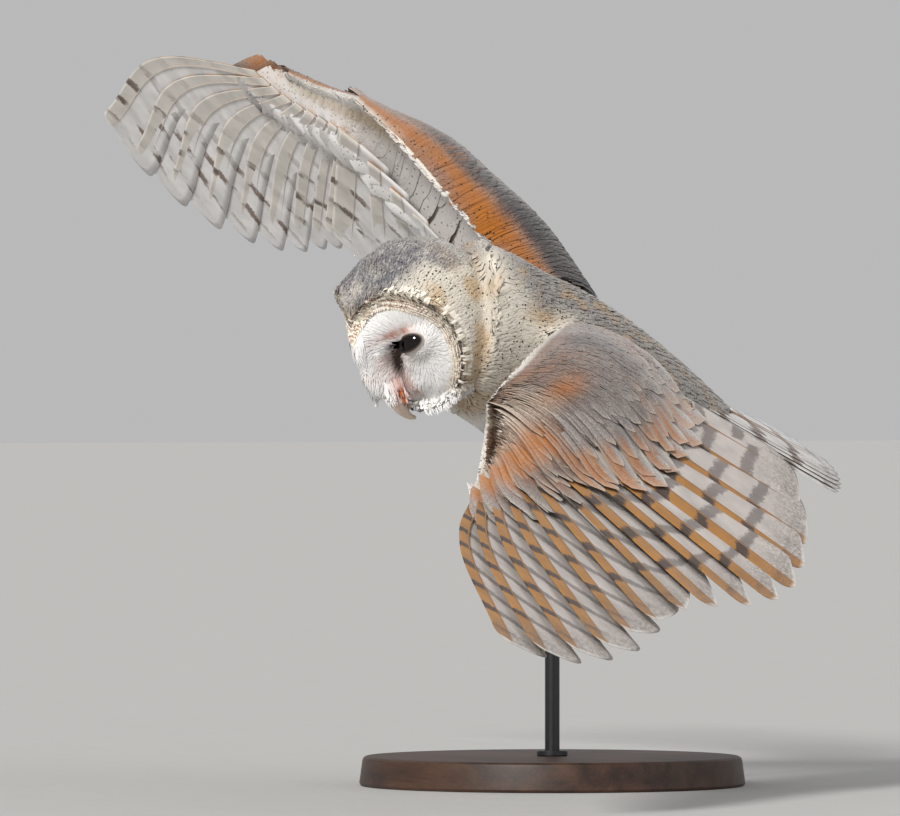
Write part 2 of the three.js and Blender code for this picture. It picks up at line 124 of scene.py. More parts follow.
LEGS = {
    # heel and foot from the shoulders, level with the ground
    "left": ((3, 44, -100), (4, 24, -144)),
    "right": ((-43, 52, -88), (-38, 34, -134)),
}

FLESH = ["head", "neck", "trunk"]
FLESH += [f"wing_{s}_{p}" for s in WINGS for p in ("arm", "hand")]
FLESH += [f"leg_{s}_thigh" for s in WINGS]


def turn(axis, degrees):
    return np.array(Matrix.Rotation(math.radians(degrees), 3, axis))


BODY = turn("X", -PITCH_UP) @ turn("Y", ROLL_LEFT)
HEAD = turn("Z", HEAD_TURN) @ turn("X", HEAD_DOWN)
HEAD_PLACE = BODY @ np.array(HEAD_CENTRE) + SHOULDERS


def from_body(p):
    return p @ BODY.T + SHOULDERS


def to_body(p):
    return (p - SHOULDERS) @ BODY


def from_head(p):
    return p @ HEAD.T + HEAD_PLACE


def to_head(p):
    return (p - HEAD_PLACE) @ HEAD


def from_middle(h):
    """How far points in the head frame lie from the middle of the skull."""
    return np.linalg.norm(h - HEAD_MIDDLE, axis=-1)


# ------------------------------------------------------------------ small helpers


def lerp(a, b, t):
    return a + (b - a) * t


def smooth(x, a, b):
    t = np.clip((x - a) / (b - a), 0, 1)
    return t * t * (3 - 2 * t)


def bell(x, middle, width):
    return np.exp(-(((x - middle) / width) ** 2))


def unit(v):
    v = np.asarray(v, float)
    return v / (np.linalg.norm(v, axis=-1, keepdims=True) + 1e-12)


def dot(a, b):
    return (a * b).sum(-1, keepdims=True)


def tangent(v, n):
    return unit(v - n * dot(v, n))


def linear(code):
    """An sRGB hex colour as linear red, green and blue."""
    parts = [int(code[i : i + 2], 16) / 255 for i in (1, 3, 5)]
    return np.array([c / 12.92 if c < 0.04045 else ((c + 0.055) / 1.055) ** 2.4 for c in parts])


def noise(p, size, seed=0):
    """Smooth random numbers from 0 to 1 in space, with a blob about every size millimetres."""
    g = p / size + seed * 17.31
    cell = np.floor(g)
    f = g - cell
    f = f * f * (3 - 2 * f)
    cell = cell.astype(np.int64)
    total = 0
    for corner in np.ndindex(2, 2, 2):
        k = cell + corner
        h = (k[..., 0] * 73856093) ^ (k[..., 1] * 19349663) ^ (k[..., 2] * 83492791)
        h = ((h ^ (h >> 13)) * 1274126177) & 0xFFFFFFFF
        h = ((h ^ (h >> 15)) & 0xFFFF) / 65535
        weight = np.prod(np.where(corner, f, 1 - f), axis=-1)
        total = total + h * weight
    return total


def blend(a, b, share):
    """Colours a and b mixed, with a share for each vertex."""
    return lerp(a, b, np.asarray(share)[..., None])


# ------------------------------------------------------------------ sizes and colours to set

COLOURS = {
    "crown": ("Crown", "Ash grey of the crown and back", "#636268"),
    "pale_grey": ("Pale grey", "Light grey of the scapulars and rump", "#a8a3a1"),
    "mantle": ("Mantle", "Grey of the mantle between the wings", "#8d8884"),
    "gold": ("Gold", "Golden buff of the nape, mantle and coverts", "#bc9660"),
    "cream": ("Cream", "Cream of the neck and upper breast", "#d7cfc1"),
    "white": ("White", "White of the belly, thighs and underwing", "#ece8e2"),
    "face": ("Face", "White of the facial disc", "#f3f1f0"),
    "ruff": ("Ruff", "Cream of the ruff round the face", "#f3ebdc"),
    "ruff_edge": ("Ruff edge", "Rust-brown edges of the ruff's feathers", "#87491c"),
    "rust": ("Rust", "Rust of the bristles by the bill and over the eye", "#a04d1c"),
    "lore": ("Lore", "Dark brown between eye and bill", "#2a1a12"),
    "spot": ("Spots", "Black of the drop-shaped spots", "#241d1b"),
    "orange": ("Orange", "Orange outer webs of the flight feathers", "#a47236"),
    "bar": ("Bars", "Dark bars of the flight feathers", "#352c2b"),
    "web": ("Inner webs", "Pale inner webs of the flight feathers", "#bdb4ae"),
    "covert": ("Coverts", "Grey-brown of the wing coverts", "#7d716b"),
    # Painted shade: this dark grey-brown stands in for the shadow in the hollows between the
    # coverts.
    "covert_dark": ("Dark coverts", "Dark grey-brown in the hollows of the coverts", "#4d4543"),
    # Partly painted shade: the charcoal is the coverts' own dark grey, deepened where the back of
    # the raised arm lies in shade.
    "soot": ("Soot", "Charcoal on the back of the raised arm", "#3d3a3c"),
    "orange_covert": ("Orange coverts", "Orange of the coverts on the hand", "#a8641e"),
    "under_buff": ("Under buff", "Buff of the coverts under the wing", "#bda27a"),
    "horn": ("Bill", "Flesh-pink horn of the bill", "#e6d0bf"),
    "toe": ("Toes", "Pinkish grey skin of the toes", "#b39d8c"),
}


def colour_property(label, note, code):
    return bpy.props.FloatVectorProperty(
        name=label, description=note, subtype="COLOR", size=3, min=0, max=1, default=linear(code)
    )


class OwlColours(bpy.types.PropertyGroup):
    """Colours of the plumage and the bare parts."""

    __annotations__ = {key: colour_property(*value) for key, value in COLOURS.items()}


def length_property(label, note, default):
    return bpy.props.FloatProperty(
        name=label, description=note, subtype="DISTANCE", unit="LENGTH", min=0, default=default * MM
    )


class OwlSizes(bpy.types.PropertyGroup):
    """Depths of the coat and lengths of its feathers."""

    head_depth: length_property("Head coat", "Depth of the coat on the head", 3)
    body_depth: length_property("Body coat", "Depth of the coat on neck and trunk", 5)
    wing_depth: length_property("Wing coat", "Depth of the coat on the arms of the wings", 1.6)
    head_feather: length_property("Head feather", "Length of a feather on the crown", 7)
    body_feather: length_property("Body feather", "Length of a feather on the trunk", 14)


def colour(key):
    return np.array(getattr(bpy.context.scene.owl_colours, key))


def size(key):
    """A size of the coat in millimetres."""
    return getattr(bpy.context.scene.owl_sizes, key) / MM


# ------------------------------------------------------------------ materials


def node(tree, kind, inputs=None, **settings):
    """Adds a node and returns its outputs. An input is a value or another node's output, and a
    setting is a property."""
    made = tree.nodes.new(f"ShaderNode{kind}")
    for key, value in settings.items():
        setattr(made, key, value)
    for key, value in (inputs or {}).items():
        socket = made.inputs[key]
        if isinstance(value, bpy.types.NodeSocket):
            tree.links.new(value, socket)
        else:
            socket.default_value = value
    return made.outputs


def new_material(name, **shader):
    """A material with one Principled shader, whose inputs are given by name, and its node tree."""
    made = bpy.data.materials.new(name)
    made.use_nodes = True
    tree = made.node_tree
    for key, value in shader.items():
        tree.nodes["Principled BSDF"].inputs[key.replace("_", " ")].default_value = value
    return made, tree


def surfaced(made, shade, height=None, strength=0.0, depth=0.0):
    """Gives a material its colour and, with a height, bump of a depth in millimetres."""
    tree = made.node_tree
    shader = tree.nodes["Principled BSDF"]
    tree.links.new(shade, shader.inputs["Base Color"])
    if height is not None:
        bump = node(tree, "Bump", {"Height": height, "Strength": strength, "Distance": depth * MM})
        tree.links.new(bump[0], shader.inputs["Normal"])
    return made


def product(tree, value, factor, plus=None):
    """One value times another, with a third added where it is given."""
    if plus is None:
        return node(tree, "Math", {0: value, 1: factor}, operation="MULTIPLY")[0]
    return node(tree, "Math", {0: value, 1: factor, 2: plus}, operation="MULTIPLY_ADD")[0]


def scaled(tree, rgb, light):
    """A colour made lighter or darker."""
    return node(tree, "VectorMath", {0: rgb, "Scale": light}, operation="SCALE")[0]


def mixed(tree, share, first, second):
    """The first colour where the share is 0 and the second where it is 1."""
    return node(tree, "Mix", {0: share, 6: first, 7: second}, data_type="RGBA")[2]


def grains(tree, place, size, detail=2.0):
    """Noise with grains of a size in millimetres."""
    return node(tree, "TexNoise", {"Vector": place, "Scale": 1 / (size * MM), "Detail": detail})[0]


def rgba(rgb):
    return (*rgb, 1)


def vane_axes(tree):
    """The place on a feather in millimetres: across its shaft, along it and back from its tip."""
    place = node(tree, "Attribute", attribute_name="vane")["Vector"]
    return node(tree, "SeparateXYZ", {0: place})


def barb_lines(tree, across, along, spacing):
    """Fine slanting lines, the barbs, from 0 to 1. Real barbs are 0.3 mm apart, which is too fine
    to show, so they are drawn coarser."""
    out = node(tree, "Math", {0: across}, operation="ABSOLUTE")[0]
    slant = product(tree, out, -0.9, along)
    turns = product(tree, slant, 2 * math.pi / spacing)
    wave = node(tree, "Math", {0: turns}, operation="SINE")[0]
    return node(tree, "MapRange", {0: wave, 1: -1.0, 2: 1.0})[0]


def small_feathers():
    """Contour feathers: keratin vanes, loose and downy at the edge. They are matt and soft, with a
    faint sheen where the barbules catch the light. Grey parts are finely vermiculated, and the
    spotted parts carry black drops about a millimetre across."""
    made, tree = new_material(
        "contour_feather_keratin", Roughness=0.85, Specular_IOR_Level=0.2, Sheen_Weight=0.25,
        Sheen_Roughness=0.5,
    )
    tint = node(tree, "Attribute", attribute_name="tint")
    spotted = node(tree, "Attribute", attribute_name="spots")["Fac"]
    x, y, _ = vane_axes(tree)
    barbs = barb_lines(tree, x, y, 0.8)
    place = node(tree, "TexCoord")["Object"]
    fleck = grains(tree, place, 1.0, 3.0)
    strong = node(tree, "MapRange", {0: fleck, 1: 0.36, 2: 0.64, 3: 0.56, 4: 1.4})[0]
    amount = node(tree, "Mix", {0: tint["Alpha"], 2: 1.0, 3: strong})[0]
    soft = node(tree, "MapRange", {0: barbs, 3: 0.95, 4: 1.04})[0]
    light = product(tree, amount, soft)
    shade = scaled(tree, tint["Color"], light)
    drop = node(tree, "TexVoronoi", {"Vector": place, "Scale": 1 / (3.1 * MM)})[0]
    drop = node(tree, "MapRange", {0: drop, 1: 0.22, 2: 0.15})[0]
    drop = product(tree, drop, spotted)
    dotted = mixed(tree, drop, shade, rgba(colour("spot")))
    return surfaced(made, dotted, barbs, 0.25, 0.1)


def flight_feather(name, pale, warm, dark_in, dark_out, strength, dusted, reach=300.0, whole=1.0):
    """Flight feathers: stiff keratin vanes with zipped barbs, so they are smoother than the coat.
    The inner web is pale and the outer web warm. Dark bars cross both about 26 mm apart, in rows
    from feather to feather, and the tip is powdered with grey."""
    made, tree = new_material(
        name, Roughness=0.7, Specular_IOR_Level=0.3, Sheen_Weight=0.12
    )
    x, y, z = vane_axes(tree)
    seed = node(tree, "Attribute", attribute_name="seed")["Fac"]
    place = node(tree, "TexCoord")["Object"]
    wobble = grains(tree, place, 11)
    powder = grains(tree, place, 1.6, 4.0)
    cloud = grains(tree, place, 16, 2.0)
    out = node(tree, "Math", {0: x}, operation="ABSOLUTE")[0]
    slant = product(tree, out, 0.2, z)
    bent = product(tree, wobble, 6.0, slant)
    moved = product(tree, seed, 4.0, bent)
    turns = product(tree, moved, 2 * math.pi / BAR_SPACING, -2.3)
    wave = node(tree, "Math", {0: turns}, operation="SINE")[0]
    edge = product(tree, powder, 1.1, wave)
    bars = node(tree, "MapRange", {0: edge, 1: 0.95, 2: 1.4}, interpolation_type="SMOOTHSTEP")[0]
    inside = node(tree, "MapRange", {0: z, 1: 8.0, 2: 16.0})[0]
    bars = product(tree, bars, inside)
    far = node(tree, "MapRange", {0: z, 1: reach, 2: reach + 40, 3: 1.0, 4: 0.2})[0]
    bars = product(tree, bars, far)
    kept = node(tree, "MapRange", {0: cloud, 1: 0.45, 2: 0.55, 3: whole})[0]
    bars = product(tree, bars, kept)
    web = node(tree, "MapRange", {0: x, 1: -2.5, 2: 0.2}, interpolation_type="SMOOTHSTEP")[0]
    base = mixed(tree, web, rgba(pale), rgba(warm))
    dark = mixed(tree, web, rgba(dark_in), rgba(dark_out))
    amount = node(tree, "MapRange", {0: web, 3: strength[0], 4: strength[1]})[0]
    bars = product(tree, bars, amount)
    barred = mixed(tree, bars, base, dark)
    tip = node(tree, "MapRange", {0: z, 1: 34.0, 2: 6.0})[0]
    dust = node(tree, "MapRange", {0: powder, 1: 0.4, 2: 0.6})[0]
    dusty = product(tree, tip, dust)
    dusty = product(tree, dusty, dusted)
    powdered = mixed(tree, dusty, barred, rgba(linear("#6f6661")))
    hem = node(tree, "MapRange", {0: z, 1: 3.0, 2: 0.6})[0]
    hem = product(tree, hem, 0.6)
    tipped = mixed(tree, hem, powdered, rgba(colour("white")))
    barbs = barb_lines(tree, x, y, 1.1)
    soft = node(tree, "MapRange", {0: barbs, 3: 0.93, 4: 1.05})[0]
    patch = node(tree, "MapRange", {0: cloud, 1: 0.3, 2: 0.7, 3: 0.84, 4: 1.14})[0]
    light = product(tree, patch, soft)
    shade = scaled(tree, tipped, light)
    return surfaced(made, shade, barbs, 0.3, 0.12)


def upper_vanes():
    """Wing feathers from above: orange outer webs and whitish inner webs, dark brown bars."""
    return flight_feather(
        "flight_feather_keratin_upper", colour("web"), colour("orange"), linear("#655a56"),
        colour("bar"), (0.78, 0.93), 0.75,
    )


def lower_vanes():
    """Flight feathers from below: greyish white with weak brown bars."""
    return flight_feather(
        "flight_feather_keratin_lower", linear("#dddad9"), linear("#d8d2ca"), linear("#6a5648"),
        linear("#54402f"), (0.95, 0.95), 0.1, 60.0, 0.1,
    )


def tail_vanes():
    """Tail feathers from above: bluish white washed with grey, with brown bars."""
    return flight_feather(
        "tail_feather_keratin", linear("#d3d3d6"), linear("#cdc9c6"), linear("#6b5446"),
        linear("#5b463a"), (0.7, 0.85), 0.5,
    )


def attribute_material(name, **shader):
    """A material whose colour is the mesh's own tint, and its node tree."""
    made, tree = new_material(name, **shader)
    tint = node(tree, "Attribute", attribute_name="tint")["Color"]
    place = node(tree, "TexCoord")["Object"]
    return made, tree, tint, place


def plain_material(name, rgb, spread, grain, **shader):
    """A material whose colour varies a little over grains of a size in millimetres, with bump."""
    made, tree = new_material(name, **shader)
    place = node(tree, "TexCoord")["Object"]
    mottle = grains(tree, place, grain, 4.0)
    light = node(tree, "MapRange", {0: mottle, 1: 0.3, 2: 0.7, 3: 1 - spread, 4: 1 + spread})[0]
    shade = scaled(tree, tuple(rgb), light)
    return surfaced(made, shade, mottle, 0.3, 0.1 * grain)


FINISHES = {}


def finish(key):
    """A material of the owl, made when it is first asked for."""
    if key not in FINISHES:
        FINISHES[key] = {
            "coat": small_feathers,
            "flight_upper": upper_vanes,
            "flight_lower": lower_vanes,
            "tail": tail_vanes,
            "horn": bill_horn,
            "eye": eye_gloss,
            "lid": bare_skin,
            "toes": toe_skin,
            "claw": claw_horn,
            "wood": base_wood,
            "steel": rod_steel,
            "shaft": rachis,
        }[key]()
    return FINISHES[key]


def bill_horn():
    """Bill: smooth layered horn with a satin shine, flesh-pink, paler at the tip."""
    made, tree, tint, place = attribute_material(
        "bill_horn", Roughness=0.38, Specular_IOR_Level=0.45, Subsurface_Weight=0.1,
        Subsurface_Scale=1.5 * MM,
    )
    mottle = grains(tree, place, 2.2, 3.0)
    light = node(tree, "MapRange", {0: mottle, 1: 0.3, 2: 0.7, 3: 0.9, 4: 1.07})[0]
    shade = scaled(tree, tint, light)
    return surfaced(made, shade, mottle, 0.2, 0.2)


def eye_gloss():
    """Eye: wet cornea over a near-black brown iris, so it mirrors the lamps as small lights."""
    iris = rgba(linear("#0d0807"))
    return new_material(
        "wet_cornea", Roughness=0.05, Specular_IOR_Level=0.32, Base_Color=iris
    )[0]


def bare_skin():
    """Eyelid: thin bare skin, dark at the wet rim and pinkish grey outside, finely wrinkled."""
    made, tree, tint, place = attribute_material(
        "eyelid_skin", Roughness=0.55, Specular_IOR_Level=0.4
    )
    return surfaced(made, tint, grains(tree, place, 0.7), 0.4, 0.2)


def toe_skin():
    """Toes: leathery pinkish skin with small raised scales and darker grooves between them."""
    made, tree = new_material("toe_skin", Roughness=0.6, Specular_IOR_Level=0.4)
    place = node(tree, "TexCoord")["Object"]
    scales = node(
        tree, "TexVoronoi", {"Vector": place, "Scale": 1 / (1.5 * MM)},
        feature="DISTANCE_TO_EDGE",
    )[0]
    raised = node(tree, "MapRange", {0: scales, 1: 0.0, 2: 0.16})[0]
    shade = mixed(tree, raised, rgba(colour("toe") * 0.5), rgba(colour("toe")))
    return surfaced(made, shade, raised, 0.6, 0.25)


def claw_horn():
    """Claws: dense black-brown horn, smooth enough to shine along the curve."""
    return plain_material(
        "claw_horn", linear("#2b211d"), 0.25, 3, Roughness=0.3, Specular_IOR_Level=0.5
    )


def rachis():
    """Feather shafts: hard smooth keratin, brown above and ivory below, so they shine more than
    the vanes."""
    made, tree, tint, place = attribute_material(
        "rachis_keratin", Roughness=0.45, Specular_IOR_Level=0.4
    )
    mottle = grains(tree, place, 6)
    light = node(tree, "MapRange", {0: mottle, 1: 0.3, 2: 0.7, 3: 0.88, 4: 1.1})[0]
    shade = scaled(tree, tint, light)
    return surfaced(made, shade)


def rod_steel():
    """Stand's rod: brushed steel lacquered dark, with a soft metallic gleam."""
    dark = linear("#3a3a3c")
    return plain_material("lacquered_steel", dark, 0.08, 4, Roughness=0.4, Metallic=0.8)


def base_wood():
    """Stand's base: oiled walnut, with grain lines about 3 mm apart and a low satin shine."""
    made, tree = new_material("oiled_walnut", Roughness=0.5, Specular_IOR_Level=0.35)
    place = node(tree, "TexCoord")["Object"]
    stretched = node(tree, "VectorMath", {0: place, 1: (0.12, 1.0, 1.0)}, operation="MULTIPLY")[0]
    bands = node(
        tree, "TexNoise",
        {"Vector": stretched, "Scale": 1 / (14 * MM), "Detail": 5.0, "Distortion": 0.6},
    )[0]
    grain = grains(tree, stretched, 1.2, 2.0)
    both = product(tree, grain, 0.35, bands)
    share = node(tree, "MapRange", {0: both, 1: 0.5, 2: 0.85})[0]
    shade = mixed(tree, share, rgba(linear("#4a3326")), rgba(linear("#2b1d16")))
    return surfaced(made, shade, grain, 0.2, 0.1)


# ------------------------------------------------------------------ making meshes


def place_piece(obj, slot, *replaced):
    """Puts a finished piece in the scene, on the owl's one body."""
    if obj.name not in bpy.context.scene.collection.objects:
        bpy.context.scene.collection.objects.link(obj)
    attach(obj, "root")
    if replaced:
        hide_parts(*replaced)
    return obj


def mesh_object(name, points, quads, materials, normals=None):
    """A smooth mesh object from points in millimetres and faces of four corners. With normals it
    is shaded as if it faced that way, which melts the feathers of a coat into one soft surface."""
    mesh = bpy.data.meshes.new(name)
    mesh.vertices.add(len(points))
    mesh.vertices.foreach_set("co", (np.asarray(points) * MM).astype(np.float32).ravel())
    mesh.loops.add(quads.size)
    mesh.loops.foreach_set("vertex_index", quads.astype(np.int32).ravel())
    mesh.polygons.add(len(quads))
    mesh.polygons.foreach_set("loop_start", np.arange(0, quads.size, 4, dtype=np.int32))
    mesh.polygons.foreach_set("use_smooth", np.ones(len(quads), bool))
    mesh.update(calc_edges=True)
    if normals is not None:
        mesh.normals_split_custom_set_from_vertices(normals.astype(np.float32))
    for material in materials:
        mesh.materials.append(material)
    return bpy.data.objects.new(name, mesh)


def set_tint(mesh, tint, fleck, spots=None):
    """Stores each vertex's colour, with the strength of the vermiculation as its alpha, and how
    much of the black drops it carries."""
    layer = mesh.color_attributes.new("tint", "FLOAT_COLOR", "POINT")
    fleck = np.broadcast_to(fleck[..., None], tint.shape[:-1] + (1,))
    layer.data.foreach_set("color", np.concatenate([tint, fleck], -1).astype(np.float32).ravel())
    spots = np.zeros(len(mesh.vertices)) if spots is None else spots
    layer = mesh.attributes.new("spots", "FLOAT", "POINT")
    layer.data.foreach_set("value", np.asarray(spots).astype(np.float32).ravel())


def set_uv(mesh, name, values):
    """A UV map from one pair of numbers for each vertex."""
    corners = np.empty(len(mesh.loops), np.int32)
    mesh.loops.foreach_get("vertex_index", corners)
    layer = mesh.uv_layers.new(name=name)
    layer.uv.foreach_set("vector", values[corners].astype(np.float32).ravel())


PATCH = 0.003  # width of a feather's patch on the bake map


def vanes(name, spine, across, face, half, tint, fleck, root_uv, *, columns, materials,
          tilt=0.0, cup=0.1, patch=(PATCH, PATCH), seeds=None, spots=0.0, melt=None, swept=0.0):
    """Feathers as thin vanes, all in one mesh. spine, across and face hold a point or direction for
    each feather and row, half its half-widths on the trailing and leading side of the shaft. swept
    carries the trailing edge towards the tip."""
    count, rows, _ = spine.shape
    c = np.asarray(columns, float)
    k = len(c)
    side = np.where(c < 0, half[..., 0:1], half[..., 1:2]) * c
    rise = tilt * side - cup * np.abs(c) ** 2 * half.mean(-1, keepdims=True)
    points = spine[:, :, None] + across[:, :, None] * side[..., None]
    points = points + face[:, :, None] * rise[..., None]
    along = np.diff(spine, axis=1, prepend=spine[:, :1])
    ramp = np.atleast_1d(swept)[:, None] * smooth(np.linspace(0, 1, rows), 0.3, 0.8)
    ahead = (np.maximum(-side, 0) * ramp[..., None])[..., None]
    points = points + unit(along + 1e-9)[:, :, None] * ahead
    run = np.cumsum(np.linalg.norm(along, axis=-1), axis=1)
    first = (np.arange(count) * rows * k)[:, None, None]
    grid = first + (np.arange(rows - 1) * k)[:, None] + np.arange(k - 1)
    quads = np.stack([grid, grid + 1, grid + 1 + k, grid + k], -1).reshape(-1, 4)
    facing = (np.cross(across[:, 1], along[:, 1]) * face[:, 1]).sum()
    if facing < 0:
        quads = quads[:, ::-1]
    normals = None
    if melt is not None:
        bend = across[:, :, None] * np.sign(c)[:, None] * (0.22 if tint is not None else 0.06)
        normals = unit(melt[:, :, None] + bend).reshape(-1, 3)
    obj = mesh_object(name, points.reshape(-1, 3), quads, materials, normals)
    mesh = obj.data
    if tint is not None:
        full = np.broadcast_to(tint, (count, rows, k, 3)).reshape(-1, 3)
        fleck = np.broadcast_to(fleck, (count, rows, k)).reshape(-1)
        set_tint(mesh, full, fleck, np.broadcast_to(spots, (count, rows, k)).reshape(-1))
    place = np.stack(
        [
            side,
            np.broadcast_to(run[..., None], side.shape),
            np.broadcast_to((run[:, -1:] - run)[..., None], side.shape),
        ],
        -1,
    )
    layer = mesh.attributes.new("vane", "FLOAT_VECTOR", "POINT")
    layer.data.foreach_set("vector", place.astype(np.float32).ravel())
    if seeds is not None:
        layer = mesh.attributes.new("seed", "FLOAT", "POINT")
        layer.data.foreach_set("value", np.repeat(seeds, rows * k).astype(np.float32))
    t = np.linspace(0, 1, rows)
    local = np.stack(np.broadcast_arrays(c / 2, t[:, None] - 0.5), -1) * np.array(patch)
    bake = root_uv[:, None, None] + local
    set_uv(mesh, "OFBake", bake.reshape(-1, 2))
    return obj


def bmesh_object(name, bm, key):
    """A smooth object from a bmesh, which is freed."""
    mesh = bpy.data.meshes.new(name)
    for face in bm.faces:
        face.smooth = True
    bm.to_mesh(mesh)
    bm.free()
    mesh.materials.append(finish(key))
    return bpy.data.objects.new(name, mesh)


def turned(name, profile, steps, key):
    """A solid of revolution about the stand's axis from a profile of radius and height."""
    bm = bmesh.new()
    verts = [bm.verts.new((r * MM, 0, z * MM)) for r, z in profile]
    edges = [bm.edges.new(pair) for pair in zip(verts, verts[1:])]
    if profile[0][0] > 0:
        edges.append(bm.edges.new((verts[-1], verts[0])))
    bmesh.ops.spin(
        bm, geom=verts + edges, cent=(0, 0, 0), axis=(0, 0, 1), angle=2 * math.pi, steps=steps,
        use_merge=True,
    )
    bmesh.ops.remove_doubles(bm, verts=bm.verts, dist=1e-6)
    bmesh.ops.recalc_face_normals(bm, faces=bm.faces)
    obj = bmesh_object(name, bm, key)
    obj.data.set_sharp_from_angle(angle=math.radians(30))
    return obj


def ring_surface(name, rings, tint, key, capped=False):
    """A surface through closed rings of points, with a colour for every point."""
    count, k, _ = rings.shape
    i = np.arange(k)
    first = (np.arange(count - 1) * k)[:, None]
    quads = np.stack([first + i, first + (i + 1) % k, first + k + (i + 1) % k, first + k + i], -1)
    obj = mesh_object(name, rings.reshape(-1, 3), quads.reshape(-1, 4), [finish(key)])
    set_tint(obj.data, tint.reshape(-1, 3), np.zeros(count * k))
    bm = bmesh.new()
    bm.from_mesh(obj.data)
    if capped:
        bmesh.ops.holes_fill(bm, edges=bm.edges, sides=0)
    bmesh.ops.recalc_face_normals(bm, faces=bm.faces)
    bm.to_mesh(obj.data)
    bm.free()
    return obj


# ------------------------------------------------------------------ wings


def wing_frame(wing, q):
    """The wing's own frame at a place q, from 0 at the shoulder to 1 at the finger tip: the bones,
    the line of the feather roots, the way the feathers point and the way the wing's back faces."""
    q = np.asarray(q, float)[..., None]
    side = wing["side"]
    arm_length, arm = wing["arm"][0], unit(wing["arm"][1])
    hand_length, hand = wing["hand"][0], unit(wing["hand"][1])
    shoulder = np.array(wing["shoulder"], float)
    wrist = shoulder + arm * arm_length
    finger = wrist + hand * hand_length
    fan = (q - WRIST) / (1 - WRIST)
    bone = np.where(q < WRIST, lerp(shoulder, wrist, q / WRIST), lerp(wrist, finger, fan))
    fan = np.clip(fan, 0, 1)
    pull = np.clip((WRIST - q) / (WRIST - INNERMOST), 0, 1)
    primary, first = unit(wing["last_primary"]), unit(wing["first_secondary"])
    inner = unit(wing["inner_secondary"])
    feather = unit(lerp(lerp(first, primary, fan ** wing["fanning"]), inner, pull**0.9))
    hand_face = unit(np.cross(primary, first) * side)
    arm_face = unit(np.cross(np.broadcast_to(arm, feather.shape), feather) * side)
    face = lerp(arm_face, hand_face, smooth(q, 0.35, WRIST))
    face = tangent(face, feather)
    elbow = np.sin(np.pi * np.clip(q / WRIST, 0, 1)) * wing["elbow"]
    root = bone + first * elbow * 0.7
    return bone, root, feather, face


def feather_size(q):
    """Length of the flight feather rooted at q, and how much of it the coverts hide."""
    out = np.clip((q - WRIST) / (1 - WRIST), 0, 1)
    inward = np.clip((WRIST - q) / WRIST, 0, 1)
    length = 154 + 76 * np.sin(out * 1.75) ** 2 - 10 * inward**2
    covered = lerp(lerp(50, 76, inward**2), 52 - 6 * smooth(out, 0.6, 1), out)
    return length, covered


def wing_surface(wing, q, x, way):
    """A point of the arm or hand in the body frame at x from 0 at the leading edge to 1 where the
    flight feathers come out, on the back of the wing (way 1) or its underside (way -1)."""
    bone, root, feather, face = wing_frame(wing, q)
    tip = smooth(q, 0.88, 1.03)
    lead = -lerp(14, wing["lead"], smooth(q, 0.5, 0.9))
    front = bone + feather * lead[..., None]
    rear = root + feather * feather_size(q)[1][..., None]
    thick = lerp(wing["thick"], 10, smooth(q, 0.05, 0.85)) * lerp(1, 0.55, tip)
    bulge = smooth(q, -0.2, 0.25) * smooth(WRIST + 0.06 - q, 0, 0.3)
    arch = wing["camber"] * lerp(0.25, 1, bulge)
    inside = np.clip(x, 0, 1)
    belly = thick * 1.05 * np.sqrt(inside) * (1 - inside) ** 0.8
    depth = np.maximum(lerp(0.5, 2.3, smooth(x, 0, 0.05)), belly) - 1.2 * smooth(x, 1, 1.3)
    rise = arch * np.sin(np.pi * inside**0.75) + way * depth
    return lerp(front, rear, np.asarray(x)[..., None]) + face * rise[..., None], front, rear


def flight_row(wing, q, seed):
    """Spines and widths of the flight feathers rooted at the places q along the wing."""
    rows = 34
    rng = np.random.default_rng(seed)
    _, root, feather, face = wing_frame(wing, q)
    length, covered = feather_size(q)
    length = length * rng.uniform(0.985, 1.0, len(q))
    across = unit(np.cross(feather, face) * wing["side"])
    out = smooth(q, WRIST, 1)
    start = (covered - 22) / length
    t = start[:, None] + (1 - start[:, None]) * np.sin(np.linspace(0, np.pi / 2, rows))
    shaft = np.sin(np.pi * t) ** 1.5 * wing["sweep"] * out[:, None] * length[:, None]
    droop = wing["bend"] * out[:, None] * length[:, None] * t**2
    spine = root[:, None] + feather[:, None] * (length[:, None] * t)[..., None]
    spine = spine + across[:, None] * shaft[..., None] - face[:, None] * droop[..., None]
    ends = length[:, None] * (1 - t)
    taper = np.sqrt(np.clip(1 - (1 - np.clip(ends / 12, 0, 1)) ** 2.9, 0, 1))
    gap = np.full(t.shape, 14.0)
    gap[1:] = dot(spine[1:] - spine[:-1], across[1:, None])[..., 0]
    gap[0] = np.where(q[0] > WRIST, lerp(18, 34, t[0]), gap[0])
    inner = np.clip(gap * 1.35 + 3, 17, 52) * taper * (0.85 + 0.15 * smooth(t, 0.3, 0.6))
    gap[:-1] = gap[1:]
    inward = smooth(WRIST - q, 0.05, 0.5)[:, None]
    outer = np.clip(gap * 0.5, 5.5, lerp(9.5, 12.5, inward)) * taper
    outer[-1] *= np.where(q[-1] < WRIST, 1.5, 1)
    half = np.stack([inner + 0.15, outer + 0.15], -1)
    frames = [np.broadcast_to(v[:, None], spine.shape) for v in (across, face)]
    return spine, frames[0], frames[1], half


def strip_atlas(count):
    """The middles of count upright strips side by side, and the size of one."""
    middles = (np.arange(count) + 0.5) / count
    return np.stack([middles, np.full(count, 0.5)], -1), (0.92 / count, 0.96)


COLUMNS = [-1, -0.85, -0.6, -0.35, -0.12, 0, 0.2, 0.55, 0.85, 1]


